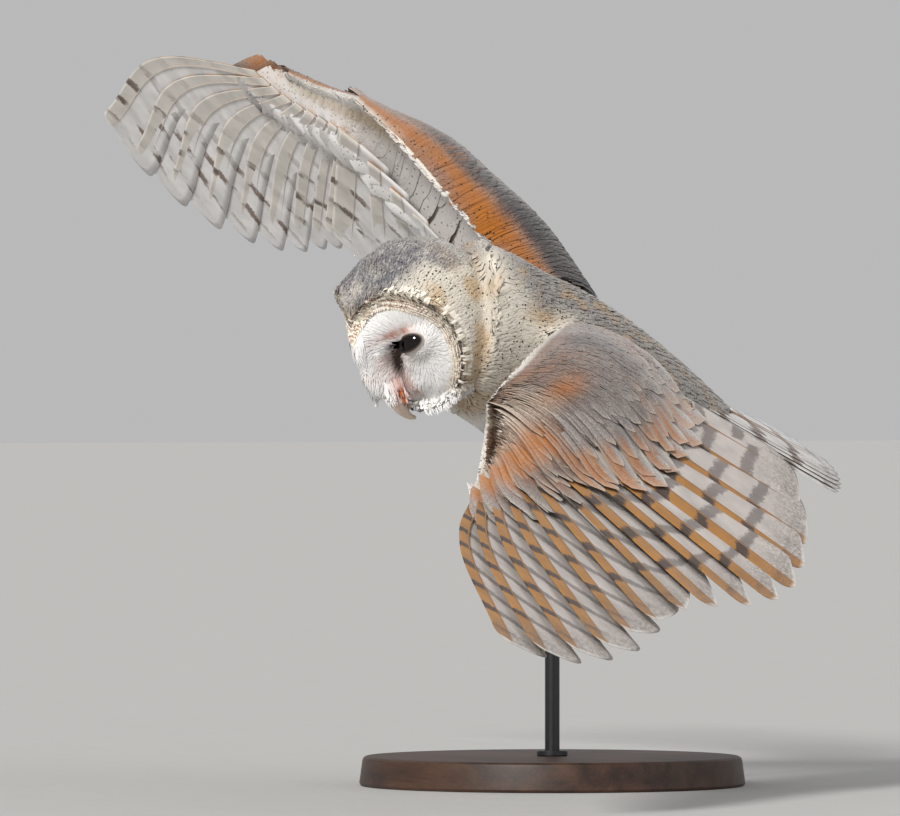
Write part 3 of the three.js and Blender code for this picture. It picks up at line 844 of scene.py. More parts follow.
def shafts(name, spine, across, face, radius):
    """The shafts of flight feathers, each a slim ridge on both sides of the vane."""
    count, rows, _ = spine.shape
    taper = lerp(1, 0.25, np.linspace(0, 1, rows))[None, :, None] * radius
    corners = [across * taper, face * taper * 1.3, -across * taper, -face * taper * 1.3]
    points = np.stack([spine + c for c in corners], 2)
    first = (np.arange(count) * rows * 4)[:, None, None]
    grid = first + (np.arange(rows - 1) * 4)[:, None]
    k = np.arange(4)
    a, b = grid + k, grid + (k + 1) % 4
    quads = np.stack([a, b, b + 4, a + 4], -1).reshape(-1, 4)
    ends = [first[:, 0] + k, first[:, 0] + (rows - 1) * 4 + k[::-1]]
    ends = [end.reshape(-1, 4)[:, ::-1] for end in ends]
    quads = np.concatenate([quads, *ends])
    obj = mesh_object(name, points.reshape(-1, 3), quads, [finish("shaft")])
    above, below = linear("#8a6c50"), linear("#d5d0ca")
    tint = np.broadcast_to([above, above, below, below], points.shape)
    set_tint(obj.data, tint.reshape(-1, 3), np.zeros(tint[..., 0].size))
    return obj


def solid_vane(obj, thickness):
    """Gives vanes their thickness. The far side takes the second material."""
    modifier = obj.modifiers.new("thickness", "SOLIDIFY")
    modifier.thickness = thickness * MM
    modifier.offset = 0
    modifier.material_offset = 1
    modifier.material_offset_rim = 0
    return obj


def fan_pieces(label, replaced, spine, across, face, half, tilt, seed, upper="flight_upper",
               swept=0.0):
    """One fan of flight feathers: its vanes and its shafts."""
    rng = np.random.default_rng(seed)
    count = len(spine)
    uv, patch = strip_atlas(count)
    spine, across, face = from_body(spine), across @ BODY.T, face @ BODY.T
    obj = vanes(
        label, spine, across, face, half, None, None, uv,
        columns=COLUMNS, materials=[finish(upper), finish("flight_lower")],
        tilt=tilt, cup=0.03, patch=patch, seeds=rng.uniform(0, 1, count), melt=face, swept=swept,
    )
    place_piece(solid_vane(obj, 0.35), "flight_feathers", replaced)
    place_piece(shafts(f"{label}_shafts", spine[:, :-2], across[:, :-2], face[:, :-2], 0.75),
                "flight_feathers")


def covert_row(wing, q, x, way, length, half, rows=7, lift=(-0.9, 0.7), rng=None, wild=0.0):
    """Spines and widths of a row of coverts whose roots lie at x on one face of the wing."""
    n = len(q)
    q = q + rng.normal(0, 0.003, n)
    x = np.clip(x + rng.normal(0, 0.008, n), 0, 1)
    length = length * rng.uniform(0.92, 1.06, n)
    _, front, rear = wing_surface(wing, q, x, way)
    chord = np.linalg.norm(rear - front, axis=-1)
    t = np.linspace(0, 1, rows) ** 0.75
    xs = x[:, None] + (length / chord)[:, None] * t
    qs = q[:, None] + (rng.normal(0, 1, n) * wild * length)[:, None] * t / 230
    base, _, _ = wing_surface(wing, qs.ravel(), xs.ravel(), way)
    _, _, feather, face = wing_frame(wing, qs.ravel())
    shape = (n, rows, 3)
    base, feather, face = (v.reshape(shape) for v in (base, feather, face))
    across = unit(np.cross(feather, face) * wing["side"])
    beside, _, _ = wing_surface(wing, qs.ravel() + 0.01, xs.ravel(), way)
    behind, _, _ = wing_surface(wing, qs.ravel(), xs.ravel() + 0.03, way)
    slope = np.cross(beside.reshape(shape) - base, behind.reshape(shape) - base)
    slope = unit(slope * np.sign(dot(slope, face * way - 0.7 * feather)))
    normal = unit(0.25 * face * way + slope)
    rise = lerp(lift[0], lift[1], t ** 0.7) + rng.normal(0, 0.12, n)[:, None]
    spine = base + normal * rise[..., None]
    taper = np.sqrt(np.clip(1 - np.clip((t - 0.55) / 0.45, 0, 1) ** 2.6, 0, 1))
    wide = (half * rng.uniform(0.92, 1.08, n))[:, None] * np.maximum(taper, 0.06)
    return spine, across, normal, np.stack([wide, wide], -1), qs, xs


def upper_covert_tint(wing, p, qs, xs, t, c, own, large):
    """Colours of the upper coverts by their place on the wing: a cream leading edge, an orange band
    with black drops, then charcoal, which is partly the coverts' own dark grey and partly painted
    shade that is strongest on the raised right wing, and grey-brown with fine vermiculation,
    darkened in cloudy patches by painted shade of the hollows. The hand's coverts are orange, and
    the large ones have pale rims."""
    shape = p.shape[:2] + (len(c),)
    tt = np.broadcast_to(t[None, :, None], shape)
    cc = np.broadcast_to(c[None, None, :], shape)
    q, x = (np.broadcast_to(v[..., None], shape) for v in (qs, xs))
    cloud = np.broadcast_to(noise(p, 15, 3)[..., None], shape)
    broad = np.broadcast_to(noise(p, 34, 9)[..., None], shape)
    own, large = own[:, None, None], large[:, None, None]
    # Charcoal behind the leading edge: partly the coverts' own dark grey, partly painted shade,
    # strongest on the raised right wing.
    soot = wing["soot"] * smooth(x + 0.12 * (cloud - 0.5), 0.08, 0.16) * (1 - smooth(q, 0.6, 0.72))
    # Painted shade: cloudy patches of the coverts are darkened to stand in for the shadow in their
    # hollows.
    hollow_shade = np.clip(0.55 * smooth(cloud, 0.4, 0.8), 0, 1)
    grey = blend(colour("covert"), colour("covert_dark"), hollow_shade)
    grey = blend(grey, colour("pale_grey"), 0.45 * own * (0.5 + 0.5 * large) * np.ones(shape))
    grey = blend(grey, colour("soot"), np.clip(soot, 0, 1))
    hand = smooth(q, 0.55, 0.66) * bell(x, 0.62, 0.22)
    bones = bell(q, 0.46, 0.13) * bell(x, 0.32, 0.09) * (1 - wing["soot"])
    nose = bell(x + 0.05 * (cloud - 0.5), 0.05, 0.055) * wing["nose"]
    stripe = smooth(x, 0.7, 0.84) * (1 - smooth(q, 0.6, 0.66)) * smooth(cc, -0.1, 0.4) * 0.75
    random = 0.35 * smooth(broad + 0.15 * own, 0.62, 0.85)
    warm = np.maximum.reduce([hand, bones, nose, stripe, random]) * (0.7 + 0.5 * cloud)
    warm = np.clip(warm, 0, 1)
    tint = blend(grey, colour("orange_covert"), warm)
    dark = bell(q, 0.68, 0.08) * bell(x, 0.9, 0.09)
    tint = blend(tint, colour("bar"), np.clip(0.7 * dark, 0, 0.85))
    inner = smooth(x, 0.72, 0.88) * (1 - smooth(q, 0.6, 0.66)) * (1 - smooth(cc, -0.2, 0.3))
    tint = blend(tint, colour("web"), 0.55 * inner)
    near = 1 - smooth(q + 0.08 * (cloud - 0.5), 0.03, 0.17)
    tint = blend(tint, colour("pale_grey"), 0.7 * near * (1 - wing["soot"]))
    edge = 1 - smooth(x + 0.03 * (cloud - 0.5), 0.015, 0.045)
    edge = edge * lerp(1, smooth(q, 0.45, 0.65), wing["nose"])
    tint = blend(tint, blend(colour("white"), colour("cream"), cloud), edge)
    fore = smooth(q, 0.46, 0.6) * (1 - smooth(x, 0.32, 0.55)) * (1 - wing["soot"])
    tint = blend(tint, blend(colour("cream"), colour("orange_covert"), 0.7 * cloud), 0.85 * fore)
    rim = np.clip(smooth(tt, 0.82, 0.97) + 0.5 * np.abs(cc) ** 4 * large, 0, 1)
    tint = blend(tint, colour("cream"), rim * (0.06 + 0.34 * large))
    tint = tint * (0.94 + 0.1 * own)[..., None]
    return tint, 0.8 * (1 - 0.7 * warm) * (1 - edge), 0.9 * nose + 0.3 * warm + 0.3 * edge


def lower_covert_tint(wing, p, qs, xs, t, c, own, large):
    """Colours of the under coverts: white at the leading edge, washed with buff behind it, with
    small dark spots, then greyish white, and dark tips on the coverts of the primaries."""
    shape = p.shape[:2] + (len(c),)
    tt = np.broadcast_to(t[None, :, None], shape)
    q, x = (np.broadcast_to(v[..., None], shape) for v in (qs, xs))
    cloud = np.broadcast_to(noise(p, 22, 5)[..., None], shape)
    own = own[:, None, None]
    buff = bell(x, 0.32, 0.2) * (0.3 + 0.6 * cloud) * smooth(q, 0.15, 0.5)
    tint = blend(linear("#e9e6e4"), colour("under_buff"), np.clip(buff, 0, 0.9))
    tint = blend(tint, colour("white"), 1 - smooth(x, 0.05, 0.22))
    tips = smooth(q, 0.62, 0.7) * smooth(x, 0.8, 0.95) * smooth(tt, 0.55, 0.7)
    tint = blend(tint, linear("#6b5f57"), 0.6 * tips)
    return tint * (0.96 + 0.05 * own)[..., None], 0.15 * np.ones(shape), 0.7 * smooth(x, 0.1, 0.3)


COVERT_ROWS = [
    # place of the roots, length, half-width, spacing, in millimetres apart from the first
    (0.36, 26, 6.5, 8.0), (0.43, 31, 9.0, 11.0), (0.5, 36, 11.5, 14.0), (0.57, 42, 13.5, 16.5),
]


def coverts(label, wing, way):
    """All coverts on one face of a wing, as one mesh."""
    rng = np.random.default_rng(hash_of(label))
    c = np.array([-1, -0.5, 0, 0.5, 1])
    span = wing["arm"][0] / WRIST
    # Lesser coverts: many small soft feathers from the leading edge back to the middle.
    count = 3000
    x = 0.45 * rng.uniform(0, 1, count) ** 1.15
    x[:260] = rng.uniform(0, 0.015, 260)
    q = rng.uniform(-0.01, 1.0, count)
    hand = smooth(q, 0.5, 0.66)
    kept = (rng.uniform(0, 1, count) > 0.6 * hand) | (x < 0.02)
    x, q, hand = x[kept], q[kept], hand[kept]
    length, half = lerp(9, 24, x / 0.45), lerp(1.5, 3.4, x / 0.45) * (1 + 0.5 * hand)
    nose = (x < 0.14) & (hand > 0.1)
    length = np.where(nose, 0.55 * length, length)
    parts = [
        covert_row(wing, q[some], x[some], way, length[some], half[some], lift=(-0.9, top), rng=rng,
                   wild=0.12)
        for some, top in ((nose, -0.3), (~nose, 0.4))
    ]
    for x, length, half, spacing in COVERT_ROWS:
        n = int(span * 1.02 / spacing)
        q = np.linspace(0.0, 1.0 if way > 0 else 0.96, n)
        parts.append(covert_row(wing, q, np.full(n, x), way, np.full(n, length), half, rng=rng,
                                wild=0.03))
    # Greater coverts: one over the root of each flight feather.
    primaries, secondaries = wing["flight"]
    q = np.concatenate([np.linspace(INNERMOST, WRIST - WRIST_GAP, secondaries),
                        np.linspace(WRIST + WRIST_GAP, 0.99 if way > 0 else 0.96, primaries)])
    reach = np.where(q < WRIST, 0.6, 0.56)
    length = lerp(46, 34, bell(q, WRIST, 0.1)) * (1.0 if way > 0 else 0.9)
    wide = 0.62 * span * np.where(q < WRIST, WRIST / secondaries, 0.3 / (primaries - 1))
    parts.append(covert_row(wing, q, reach, way, length, wide + 3,
                            lift=(-1.2, 0.2), rng=rng))
    if way > 0:
        # Alula: four stiff feathers on the thumb, over the coverts of the primaries.
        thumb = np.array([0.715, 0.7, 0.685, 0.67])
        parts.append(covert_row(wing, thumb, np.array([0.3, 0.22, 0.13, 0.05]), way,
                                np.array([48.0, 46, 40, 32]), 8.0, lift=(0.8, 1.6), rng=rng))
    spine, across, normal, half, qs, xs = (
        np.concatenate([p[i] for p in parts]) for i in range(6)
    )
    large = smooth(half[:, 0, 0], 3.5, 7)
    spine, across, normal = from_body(spine), across @ BODY.T, normal @ BODY.T
    spine = clear_of_skin(spine, normal)
    t = np.linspace(0, 1, spine.shape[1]) ** 0.75
    paint = upper_covert_tint if way > 0 else lower_covert_tint
    tint, fleck, spots = paint(wing, spine, qs, xs, t, c, rng.uniform(0, 1, len(spine)), large)
    uv = np.stack([0.02 + 0.96 * np.clip(qs[:, 0], 0, 1), 0.02 + 0.9 * np.clip(xs[:, 0], 0, 1)], -1)
    obj = vanes(label, spine, across, normal, half, tint, fleck, uv, columns=c,
                materials=[finish("coat")], tilt=0.05 * way, cup=0.1, spots=spots, melt=normal)
    return place_piece(obj, "plumage")


def clear_of_skin(spine, normal):
    """Lifts the points that would lie in the skin to just above it."""
    points = spine.reshape(-1, 3).copy()
    outward = normal.reshape(-1, 3)
    floor = np.tile(np.linspace(0.1, 0.8, spine.shape[1]), len(spine))
    for i, q in enumerate((points * MM).tolist()):
        place, face, _, distance = SKIN["tree"].find_nearest(q)
        if distance > 12 * MM:
            continue
        over = (Vector(q) - place).dot(face) / MM
        if over < floor[i] and face.dot(Vector(outward[i])) > 0:
            points[i] += np.array(face) * (floor[i] - over)
    return points.reshape(spine.shape)


def hash_of(text):
    """The same whole number for a name on every run."""
    return sum((i + 1) * ord(letter) for i, letter in enumerate(text))


# ------------------------------------------------------------------ skin


def node_copy(name):
    """A merged copy of a CAD node's mesh as a bmesh."""
    bm = bmesh.new()
    bm.from_mesh(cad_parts[name].data)
    bmesh.ops.remove_doubles(bm, verts=bm.verts, dist=1e-6)
    return bm


def joined(names):
    """The merged copies of several CAD nodes in one bmesh."""
    mesh = bpy.data.meshes.new("joined")
    total = bmesh.new()
    for name in names:
        part = node_copy(name)
        part.to_mesh(mesh)
        total.from_mesh(mesh)
        part.free()
    return total


def remeshed(name, solids, voxel, smoothing):
    """One closed skin round the solids in a bmesh, with only its outer shell kept."""
    mesh = bpy.data.meshes.new(name)
    solids.to_mesh(mesh)
    solids.free()
    obj = bpy.data.objects.new(name, mesh)
    bpy.context.scene.collection.objects.link(obj)
    modifier = obj.modifiers.new("skin", "REMESH")
    modifier.mode = "VOXEL"
    modifier.voxel_size = voxel * MM
    shown = obj.evaluated_get(bpy.context.evaluated_depsgraph_get())
    mesh = bpy.data.meshes.new_from_object(shown)
    obj.modifiers.clear()
    obj.data = mesh
    bm = bmesh.new()
    bm.from_mesh(mesh)
    largest_shell(bm)
    relax(bm, smoothing)
    bm.to_mesh(mesh)
    bm.free()
    mesh.polygons.foreach_set("use_smooth", np.ones(len(mesh.polygons), bool))
    return obj


def relax(bm, times, verts=None):
    """Evens out a mesh, or only some of its vertices."""
    for _ in range(times):
        bmesh.ops.smooth_vert(
            bm, verts=verts or bm.verts, factor=0.5, use_axis_x=True, use_axis_y=True,
            use_axis_z=True,
        )


def largest_shell(bm):
    """Deletes every connected part of a bmesh but the largest."""
    left = set(bm.verts)
    shells = []
    while left:
        stack = [left.pop()]
        shell = set(stack)
        while stack:
            vert = stack.pop()
            for edge in vert.link_edges:
                other = edge.other_vert(vert)
                if other not in shell:
                    shell.add(other)
                    stack.append(other)
        left -= shell
        shells.append(shell)
    keep = max(shells, key=len)
    bmesh.ops.delete(bm, geom=[v for v in bm.verts if v not in keep], context="VERTS")


def vertex_array(mesh, what="co"):
    source = mesh.vertices if what == "co" else mesh.vertex_normals
    data = np.empty(len(mesh.vertices) * 3, np.float32)
    source.foreach_get("co" if what == "co" else "vector", data)
    return data.reshape(-1, 3).astype(float)


def coat_depth(p):
    """How far the skin lies inside the coat's surface at a place, in millimetres."""
    h = to_head(p)
    on_head = 1 - smooth(from_middle(h), 52, 62)
    in_face = 1 - smooth(np.linalg.norm(h[..., ::2], axis=-1), 34, 42)
    in_face = in_face * (1 - smooth(h[..., 1], -4, 6))
    b = to_body(p)
    out = smooth(np.abs(b[..., 0]), 42, 62)
    depth = lerp(size("body_depth"), size("wing_depth"), out)
    depth = lerp(depth, size("head_depth"), on_head)
    return lerp(depth, 1.0, in_face * on_head)


SKIN = {}


def build_skin():
    """One skin over all the flesh, drawn in by the depth of the coat, with bulging eyelids that
    are open over the eyes."""
    solids = joined(FLESH)
    for side in (1, -1):
        place = from_head(EYE_CENTRE * (side, 1, 1)) * MM
        bmesh.ops.create_icosphere(
            solids, subdivisions=4, radius=(LID_RADIUS + 0.6) * MM, matrix=Matrix.Translation(place)
        )
    obj = remeshed("skin", solids, SKIN_VOXEL, 3)
    mesh = obj.data
    p = vertex_array(mesh) / MM
    n = vertex_array(mesh, "normal")
    inner = p - n * coat_depth(p)[:, None]
    inner = sink_round_eyes(inner)
    mesh.vertices.foreach_set("co", (inner * MM).astype(np.float32).ravel())
    bm = bmesh.new()
    bm.from_mesh(mesh)
    relax(bm, 2)
    far = from_middle(to_head(inner))
    relax(bm, 45, [v for v, d in zip(bm.verts, far) if 52 < d < 84])
    place = to_head(np.array([v.co for v in bm.verts]) / MM)
    gone = np.zeros(len(place), bool)
    for side in (1, -1):
        far = np.linalg.norm(place - EYE_CENTRE * (side, 1, 1), axis=1)
        gone |= (lid_distance(place, side) < -0.3) & (far < 11.5)
    gone = [v for v, out in zip(bm.verts, gone) if out]
    bmesh.ops.delete(bm, geom=gone, context="VERTS")
    bm.to_mesh(mesh)
    SKIN["tree"] = BVHTree.FromBMesh(bm)
    bm.free()
    mesh.update()
    inner = vertex_array(mesh) / MM
    tint, fleck, _ = markings(inner, vertex_array(mesh, "normal"))
    bare = smooth(np.abs(to_body(inner)[:, 0]), 60, 72)
    set_tint(mesh, blend(tint * 0.8, linear("#d8cfc2"), bare), fleck * (1 - bare))
    layer = mesh.attributes.new("vane", "FLOAT_VECTOR", "POINT")
    layer.data.foreach_set("vector", np.zeros(len(mesh.vertices) * 3, np.float32))
    dress(obj, "coat")
    SKIN["mesh"] = mesh
    place_piece(obj, "plumage", *FLESH)
    return obj


def eye_frame(side):
    """The way an eye's opening faces, and the ways along it to its outer corner and across it."""
    axis = unit(np.array(OPENING_AXIS) * (side, 1, 1))
    up = tangent(np.array([0.0, 0, 1]), axis)
    outward = np.cross(up, axis) * side
    outward = outward * np.sign(outward[0] * side)
    lift = math.radians(OPENING_TILT)
    along = outward * math.cos(lift) + up * math.sin(lift)
    return axis, along, up * math.cos(lift) - outward * math.sin(lift)


def lid_distance(h, side):
    """How far points in the head frame lie outside an eye's opening, in about millimetres."""
    v = h - EYE_CENTRE * (side, 1, 1)
    far = np.linalg.norm(v, axis=-1)
    axis, along, up = eye_frame(side)
    d = unit(v)
    away = np.arccos(np.clip(d @ axis, -1, 1)) * LID_RADIUS
    flat = unit(np.stack([d @ along, d @ up], -1)) * away[..., None]
    ratio = np.hypot(flat[..., 0] / OPENING[0], flat[..., 1] / OPENING[1])
    off = (ratio - 1) * away / np.maximum(ratio, 0.2)
    return np.where(far > 25, 99.0, off)


def sink_round_eyes(p):
    """Draws the skin in to the eyelids round each opening, as a shallow socket."""
    h = to_head(p)
    for side in (1, -1):
        centre = EYE_CENTRE * (side, 1, 1)
        v = h - centre
        far = np.linalg.norm(v, axis=1)
        off = np.maximum(lid_distance(h, side), 0)
        limit = 9.9 + 0.35 * off**1.2
        near = (far < 22) & (off < 12) & (far > limit)
        pull = 1 - smooth(far, 16.5, 22)
        radius = lerp(far, limit, pull)
        h[near] = centre + v[near] * (radius / far)[near][:, None]
    return from_head(h)


# ------------------------------------------------------------------ markings of the body


def markings(p, n):
    """Colour of the coat at places on head, neck, trunk and thighs, how vermiculated it is there
    and how much of the black drops it carries."""
    h, b = to_head(p), to_body(p)
    on_head = 1 - smooth(from_middle(h), 55, 66)
    patchy = noise(p, 13, 1)
    small = noise(p, 6, 2)
    # Head outside the ruff: grey crown, golden sides.
    high = h[..., 2] + 0.3 * np.clip(h[..., 1], 0, 40) - 0.2 * np.abs(h[..., 0])
    grey = smooth(high + 12 * (patchy - 0.5), 25, 36)
    grey = grey * (1 - 0.3 * smooth(h[..., 1], 8, 38))
    sides = blend(colour("cream"), colour("gold"), 0.6 * smooth(patchy + 0.25 * small, 0.5, 0.9))
    fine = noise(p, 1.7, 4)
    crown = blend(colour("crown"), colour("pale_grey"), 0.7 * smooth(fine, 0.5, 0.75))
    crown = blend(crown, colour("pale_grey"), 0.5 * smooth(h[..., 1], 0, 40))
    head = blend(sides, crown, grey * (0.75 + 0.25 * small))
    # Trunk and neck by the angle round the body.
    angle = np.degrees(np.arctan2(b[..., 2] + 20, np.abs(b[..., 0]) + 1e-6))
    angle = angle + 16 * (patchy - 0.5)
    shoulder = smooth(np.abs(b[..., 0]), 32, 46)
    faces_up = smooth(n @ BODY[:, 2], -0.1, 0.35)
    back = lerp(smooth(angle, 25, 62), faces_up, shoulder)
    under = 1 - smooth(angle, -45, -10)
    flank = blend(colour("cream"), colour("gold"), 0.6 * smooth(patchy, 0.45, 0.75))
    mantle = blend(colour("mantle"), colour("gold"), 0.45 * smooth(small, 0.5, 0.85))
    trunk = blend(blend(flank, mantle, back), colour("white"), under)
    tint = blend(trunk, head, on_head)
    fleck = lerp(back * 0.7, grey, on_head)
    spots = lerp(lerp(1.0, 0.25, under), 1 - 0.4 * grey, on_head)
    # Inside the facial disc.
    inside = in_disc(h)
    tint = blend(tint, face_tint(h), inside)
    return tint, fleck * (1 - inside), spots * (1 - inside)


def disc_rim(angle):
    """Radius and depth of the facial disc's rim at an angle about the gaze, in the head frame."""
    lift, away = np.sin(angle), np.abs(np.cos(angle))
    notch, chin = bell(angle, np.pi / 2, 0.3), bell(angle, -np.pi / 2, 0.45)
    full = DISC_RADIUS + np.where(lift > 0, 2, 4) * lift**2
    radius = full - 18 * notch - 11 * chin
    back = lerp(np.where(lift > 0, -33.0, -17.0), 0, away**1.3)
    return radius, back


def in_disc(h):
    """1 inside the facial disc, 0 outside it."""
    radius, back = disc_rim(np.arctan2(h[..., 2], h[..., 0]))
    r = np.linalg.norm(h[..., ::2], axis=-1)
    near = 1 - smooth(np.linalg.norm(h, axis=-1), 64, 70)
    return near * (1 - smooth(r / radius, 0.93, 0.99)) * (1 - smooth(h[..., 1] - back, -2, 6))


def face_tint(h):
    """Colour of the facial disc: white, dark between eye and bill, rust round the bill's root."""
    x, z = np.abs(h[..., 0]), h[..., 2]
    base = np.broadcast_to(colour("face"), h.shape)
    eye_x, _, eye_z = EYE_CENTRE
    streak = noise(h * (1, 1, 0.4), 1.6, 8)
    middle = 12.2 + 0.178 * (z + 5)
    wide = lerp(1.5, 3.4, smooth(z, -14, 2)) * (0.6 + 0.8 * streak)
    lore = bell(x, middle, wide) * smooth(z, -17, -4) * (1 - smooth(z, 5, 8.5))
    stain = bell(x, middle - 1, 2.6 * wide) * smooth(z, -22, -10) * (1 - smooth(z, 1, 5))
    above = 1.1 * bell(x, eye_x - 2.5, 6.5) * bell(z, eye_z + 9.5, 2.4) * (0.6 + 0.6 * streak)
    sides = 0.9 * bell(x, 8.4, 1.8) + 0.7 * bell(x, 12.6, 1.6)
    bill = sides * bell(z, -19, 6.5) * (0.35 + 1.1 * streak)
    tint = blend(base, colour("rust"), np.clip(0.75 * above + 1.2 * bill + 0.42 * stain, 0, 1))
    # Painted shade: under the ruff's band the colour turns a darker buff, standing in for the shade
    # in the gaps between the ruff's feathers.
    angle = np.arctan2(z, h[..., 0])
    band = np.linalg.norm(h[..., ::2], axis=-1) - disc_rim(angle)[0] + ruff_width(angle)
    tint = blend(tint, linear("#d2c2a6"), 0.8 * smooth(band, 0, 1.5) * smooth(z, -34, -24))
    return blend(tint, colour("lore"), np.clip(1.2 * lore, 0, 1) ** 1.2)


def ruff_width(angle):
    """Width of the ruff's band inside the disc's rim."""
    lift = np.sin(angle)
    return 9 + 5 * np.maximum(lift, 0) ** 1.5 - 4 * np.maximum(-lift, 0)


def ruff_tint(h):
    """Colour of the ruff: cream, with thin wavy rust-brown lines round it where each row of stiff
    feathers ends, and plain cream outside the last of them. On the sides of the head, dark brown
    painted shade lies in patches beside the lines and stands in for the shadow between the rows."""
    angle = np.arctan2(h[..., 2], h[..., 0])
    wide = ruff_width(angle)
    out = (np.linalg.norm(h[..., ::2], axis=-1) - disc_rim(angle)[0]) / wide + 1
    cloud, wave = noise(h, 5, 7), noise(h, 9, 3)
    turn = out * 4.6 + 0.9 * wave + 0.25 * noise(h, 1.4, 5)
    place = turn - np.floor(turn)
    line = smooth(place, 0.55, 0.8) * (1 - smooth(place, 0.88, 0.99))
    line = line * smooth(out, 0.02, 0.15) * (1 - smooth(out, 0.8, 0.98)) * (0.45 + 1.0 * cloud)
    tint = blend(colour("ruff"), colour("ruff_edge"), np.clip(line, 0, 1))
    # Painted shade: on the sides of the head the gaps between the ruff's rows are painted dark
    # brown, standing in for the shadow that falls there.
    rear = smooth(np.abs(h[..., 0]), 24, 34) * (1 - smooth(h[..., 2], 12, 26))
    dark = smooth(place, 0.7, 0.85) * (1 - smooth(place, 0.9, 0.99)) * rear
    dark = dark * smooth(out, 0.3, 0.5) * (1 - smooth(out, 0.8, 0.95)) * smooth(cloud, 0.35, 0.6)
    tint = blend(tint, linear("#3b2717"), dark)
    return blend(tint, colour("face"), 1 - smooth(h[..., 2], -32, -24))


# ------------------------------------------------------------------ body coat


def sample_skin(spacing, wanted, seed, skin=SKIN):
    """Points spread evenly over the part of a skin that wanted picks, with their normals."""
    mesh = skin["mesh"]
    mesh.calc_loop_triangles()
    tris = np.empty(len(mesh.loop_triangles) * 3, np.int32)
    mesh.loop_triangles.foreach_get("vertices", tris)
    tris = tris.reshape(-1, 3)
    p = vertex_array(mesh) / MM
    n = vertex_array(mesh, "normal")
    a, b, c = p[tris[:, 0]], p[tris[:, 1]], p[tris[:, 2]]
    normal = unit(n[tris].sum(1))
    keep = wanted((a + b + c) / 3, normal)
    a, b, c, normal = a[keep], b[keep], c[keep], normal[keep]
    area = np.linalg.norm(np.cross(b - a, c - a), axis=1) / 2
    rng = np.random.default_rng(seed)
    count = int(area.sum() / spacing**2 * 3.2)
    pick = rng.choice(len(area), count, p=area / area.sum())
    r = np.sqrt(rng.uniform(0, 1, count))[:, None]
    s = rng.uniform(0, 1, count)[:, None]
    points = a[pick] * (1 - r) + b[pick] * r * (1 - s) + c[pick] * r * s
    kept, cells = [], {}
    where = np.floor(points / spacing).astype(int)
    near = [(i, j, k) for i in (-1, 0, 1) for j in (-1, 0, 1) for k in (-1, 0, 1)]
    limit = (0.8 * spacing) ** 2
    for index, (cell, q) in enumerate(zip(where.tolist(), points.tolist())):
        i, j, k = cell
        clash = False
        for di, dj, dk in near:
            o = cells.get((i + di, j + dj, k + dk))
            if o is not None and sum((u - v) ** 2 for u, v in zip(o, q)) < limit:
                clash = True
                break
        if not clash:
            cells[(i, j, k)] = q
            kept.append(index)
    return points[kept], normal[pick][kept]


def coat(label, points, normals, lie, length, half, depth, bake, *, rows=4, columns=(-1, 0, 1),
         seed=1, splay=5, hold=1.8, blunt=0.45, rough=0.06, paint=markings, cup=0.12, lift=0.0,
         skin=SKIN, melted=True):
    """Small feathers lying along the skin. lie gives the way they point at a place, paint their
    colours, and lift raises their tips."""
    rng = np.random.default_rng(seed)
    n = len(points)
    tree = skin["tree"]
    length = length * rng.uniform(1 - rough, 1 + rough, n)
    half = half * rng.uniform(0.88, 1.12, n)
    depth = depth * rng.uniform(1 - rough, 1 + rough, n)
    way = tangent(lie(points), normals)
    angle = np.radians(rng.normal(0, splay, n))[:, None]
    way = way * np.cos(angle) + np.cross(normals, way) * np.sin(angle)
    spine, ways, faces = [points], [way], [normals]
    step = (length / (rows - 1))[:, None]
    for _ in range(rows - 1):
        p = spine[-1] + ways[-1] * step
        near, face = np.empty_like(p), np.empty_like(p)
        for i, q in enumerate((p * MM).tolist()):
            place, normal, _, _ = tree.find_nearest(q)
            near[i] = place
            face[i] = normal
        face = unit(0.5 * faces[-1] + 0.5 * face)
        spine.append(near / MM)
        faces.append(face)
        ways.append(tangent(ways[-1], face))
    spine, ways, faces = (np.stack(v, 1) for v in (spine, ways, faces))
    t = np.linspace(0, 1, rows)
    rise = (1 - (1 - t) ** hold)[None] * depth[:, None] - 0.3 + lift * t**2
    spine = spine + faces * rise[..., None]
    across = np.cross(faces, ways)
    taper = np.sqrt(np.clip(1 - np.clip((t - blunt) / (1 - blunt), 0, 1) ** 2, 0, 1))
    wide = half[:, None] * np.maximum(taper, 0.1) * lerp(0.75, 1, smooth(t, 0, 0.3))
    tint, fleck, spots = paint(spine, faces)
    own = rng.uniform(0.94, 1.05, n)[:, None, None, None]
    tint = np.repeat(tint[:, :, None], len(columns), 2) * own
    obj = vanes(label, spine, across, faces, np.stack([wide, wide], -1), tint, fleck[..., None],
                bake(points), columns=columns, materials=[finish("coat")], cup=cup,
                spots=spots[..., None], melt=faces if melted else None)
    return place_piece(obj, "plumage")


def round_uv(q, axis, low, high):
    """An unwrap of a body round its long axis: the angle and the place along it."""
    others = [i for i in range(3) if i != axis]
    angle = np.arctan2(q[..., others[0]], q[..., others[1]]) / (2 * np.pi) + 0.5
    along = np.clip((q[..., axis] - low) / (high - low), 0, 1)
    return np.stack([0.02 + 0.96 * angle, 0.02 + 0.96 * along], -1)


def head_uv(p):
    return round_uv(to_head(p), 1, -45, 60)


def steadily(way):
    """A lie of the coat that is the same everywhere."""
    return lambda p: np.broadcast_to(way, p.shape)


def dress(obj, key):
    """Gives a piece one material in place of any that it has."""
    obj.data.materials.clear()
    obj.data.materials.append(finish(key))


def neck_depth(p):
    """How high the coat stands on the skin, rising from the head's depth to the body's."""
    far = from_middle(to_head(p))
    depth = lerp(size("head_depth"), size("body_depth"), smooth(far, 47, 59))
    return lerp(depth, size("wing_depth") - 0.6, smooth(np.abs(to_body(p)[:, 0]), 38, 54))


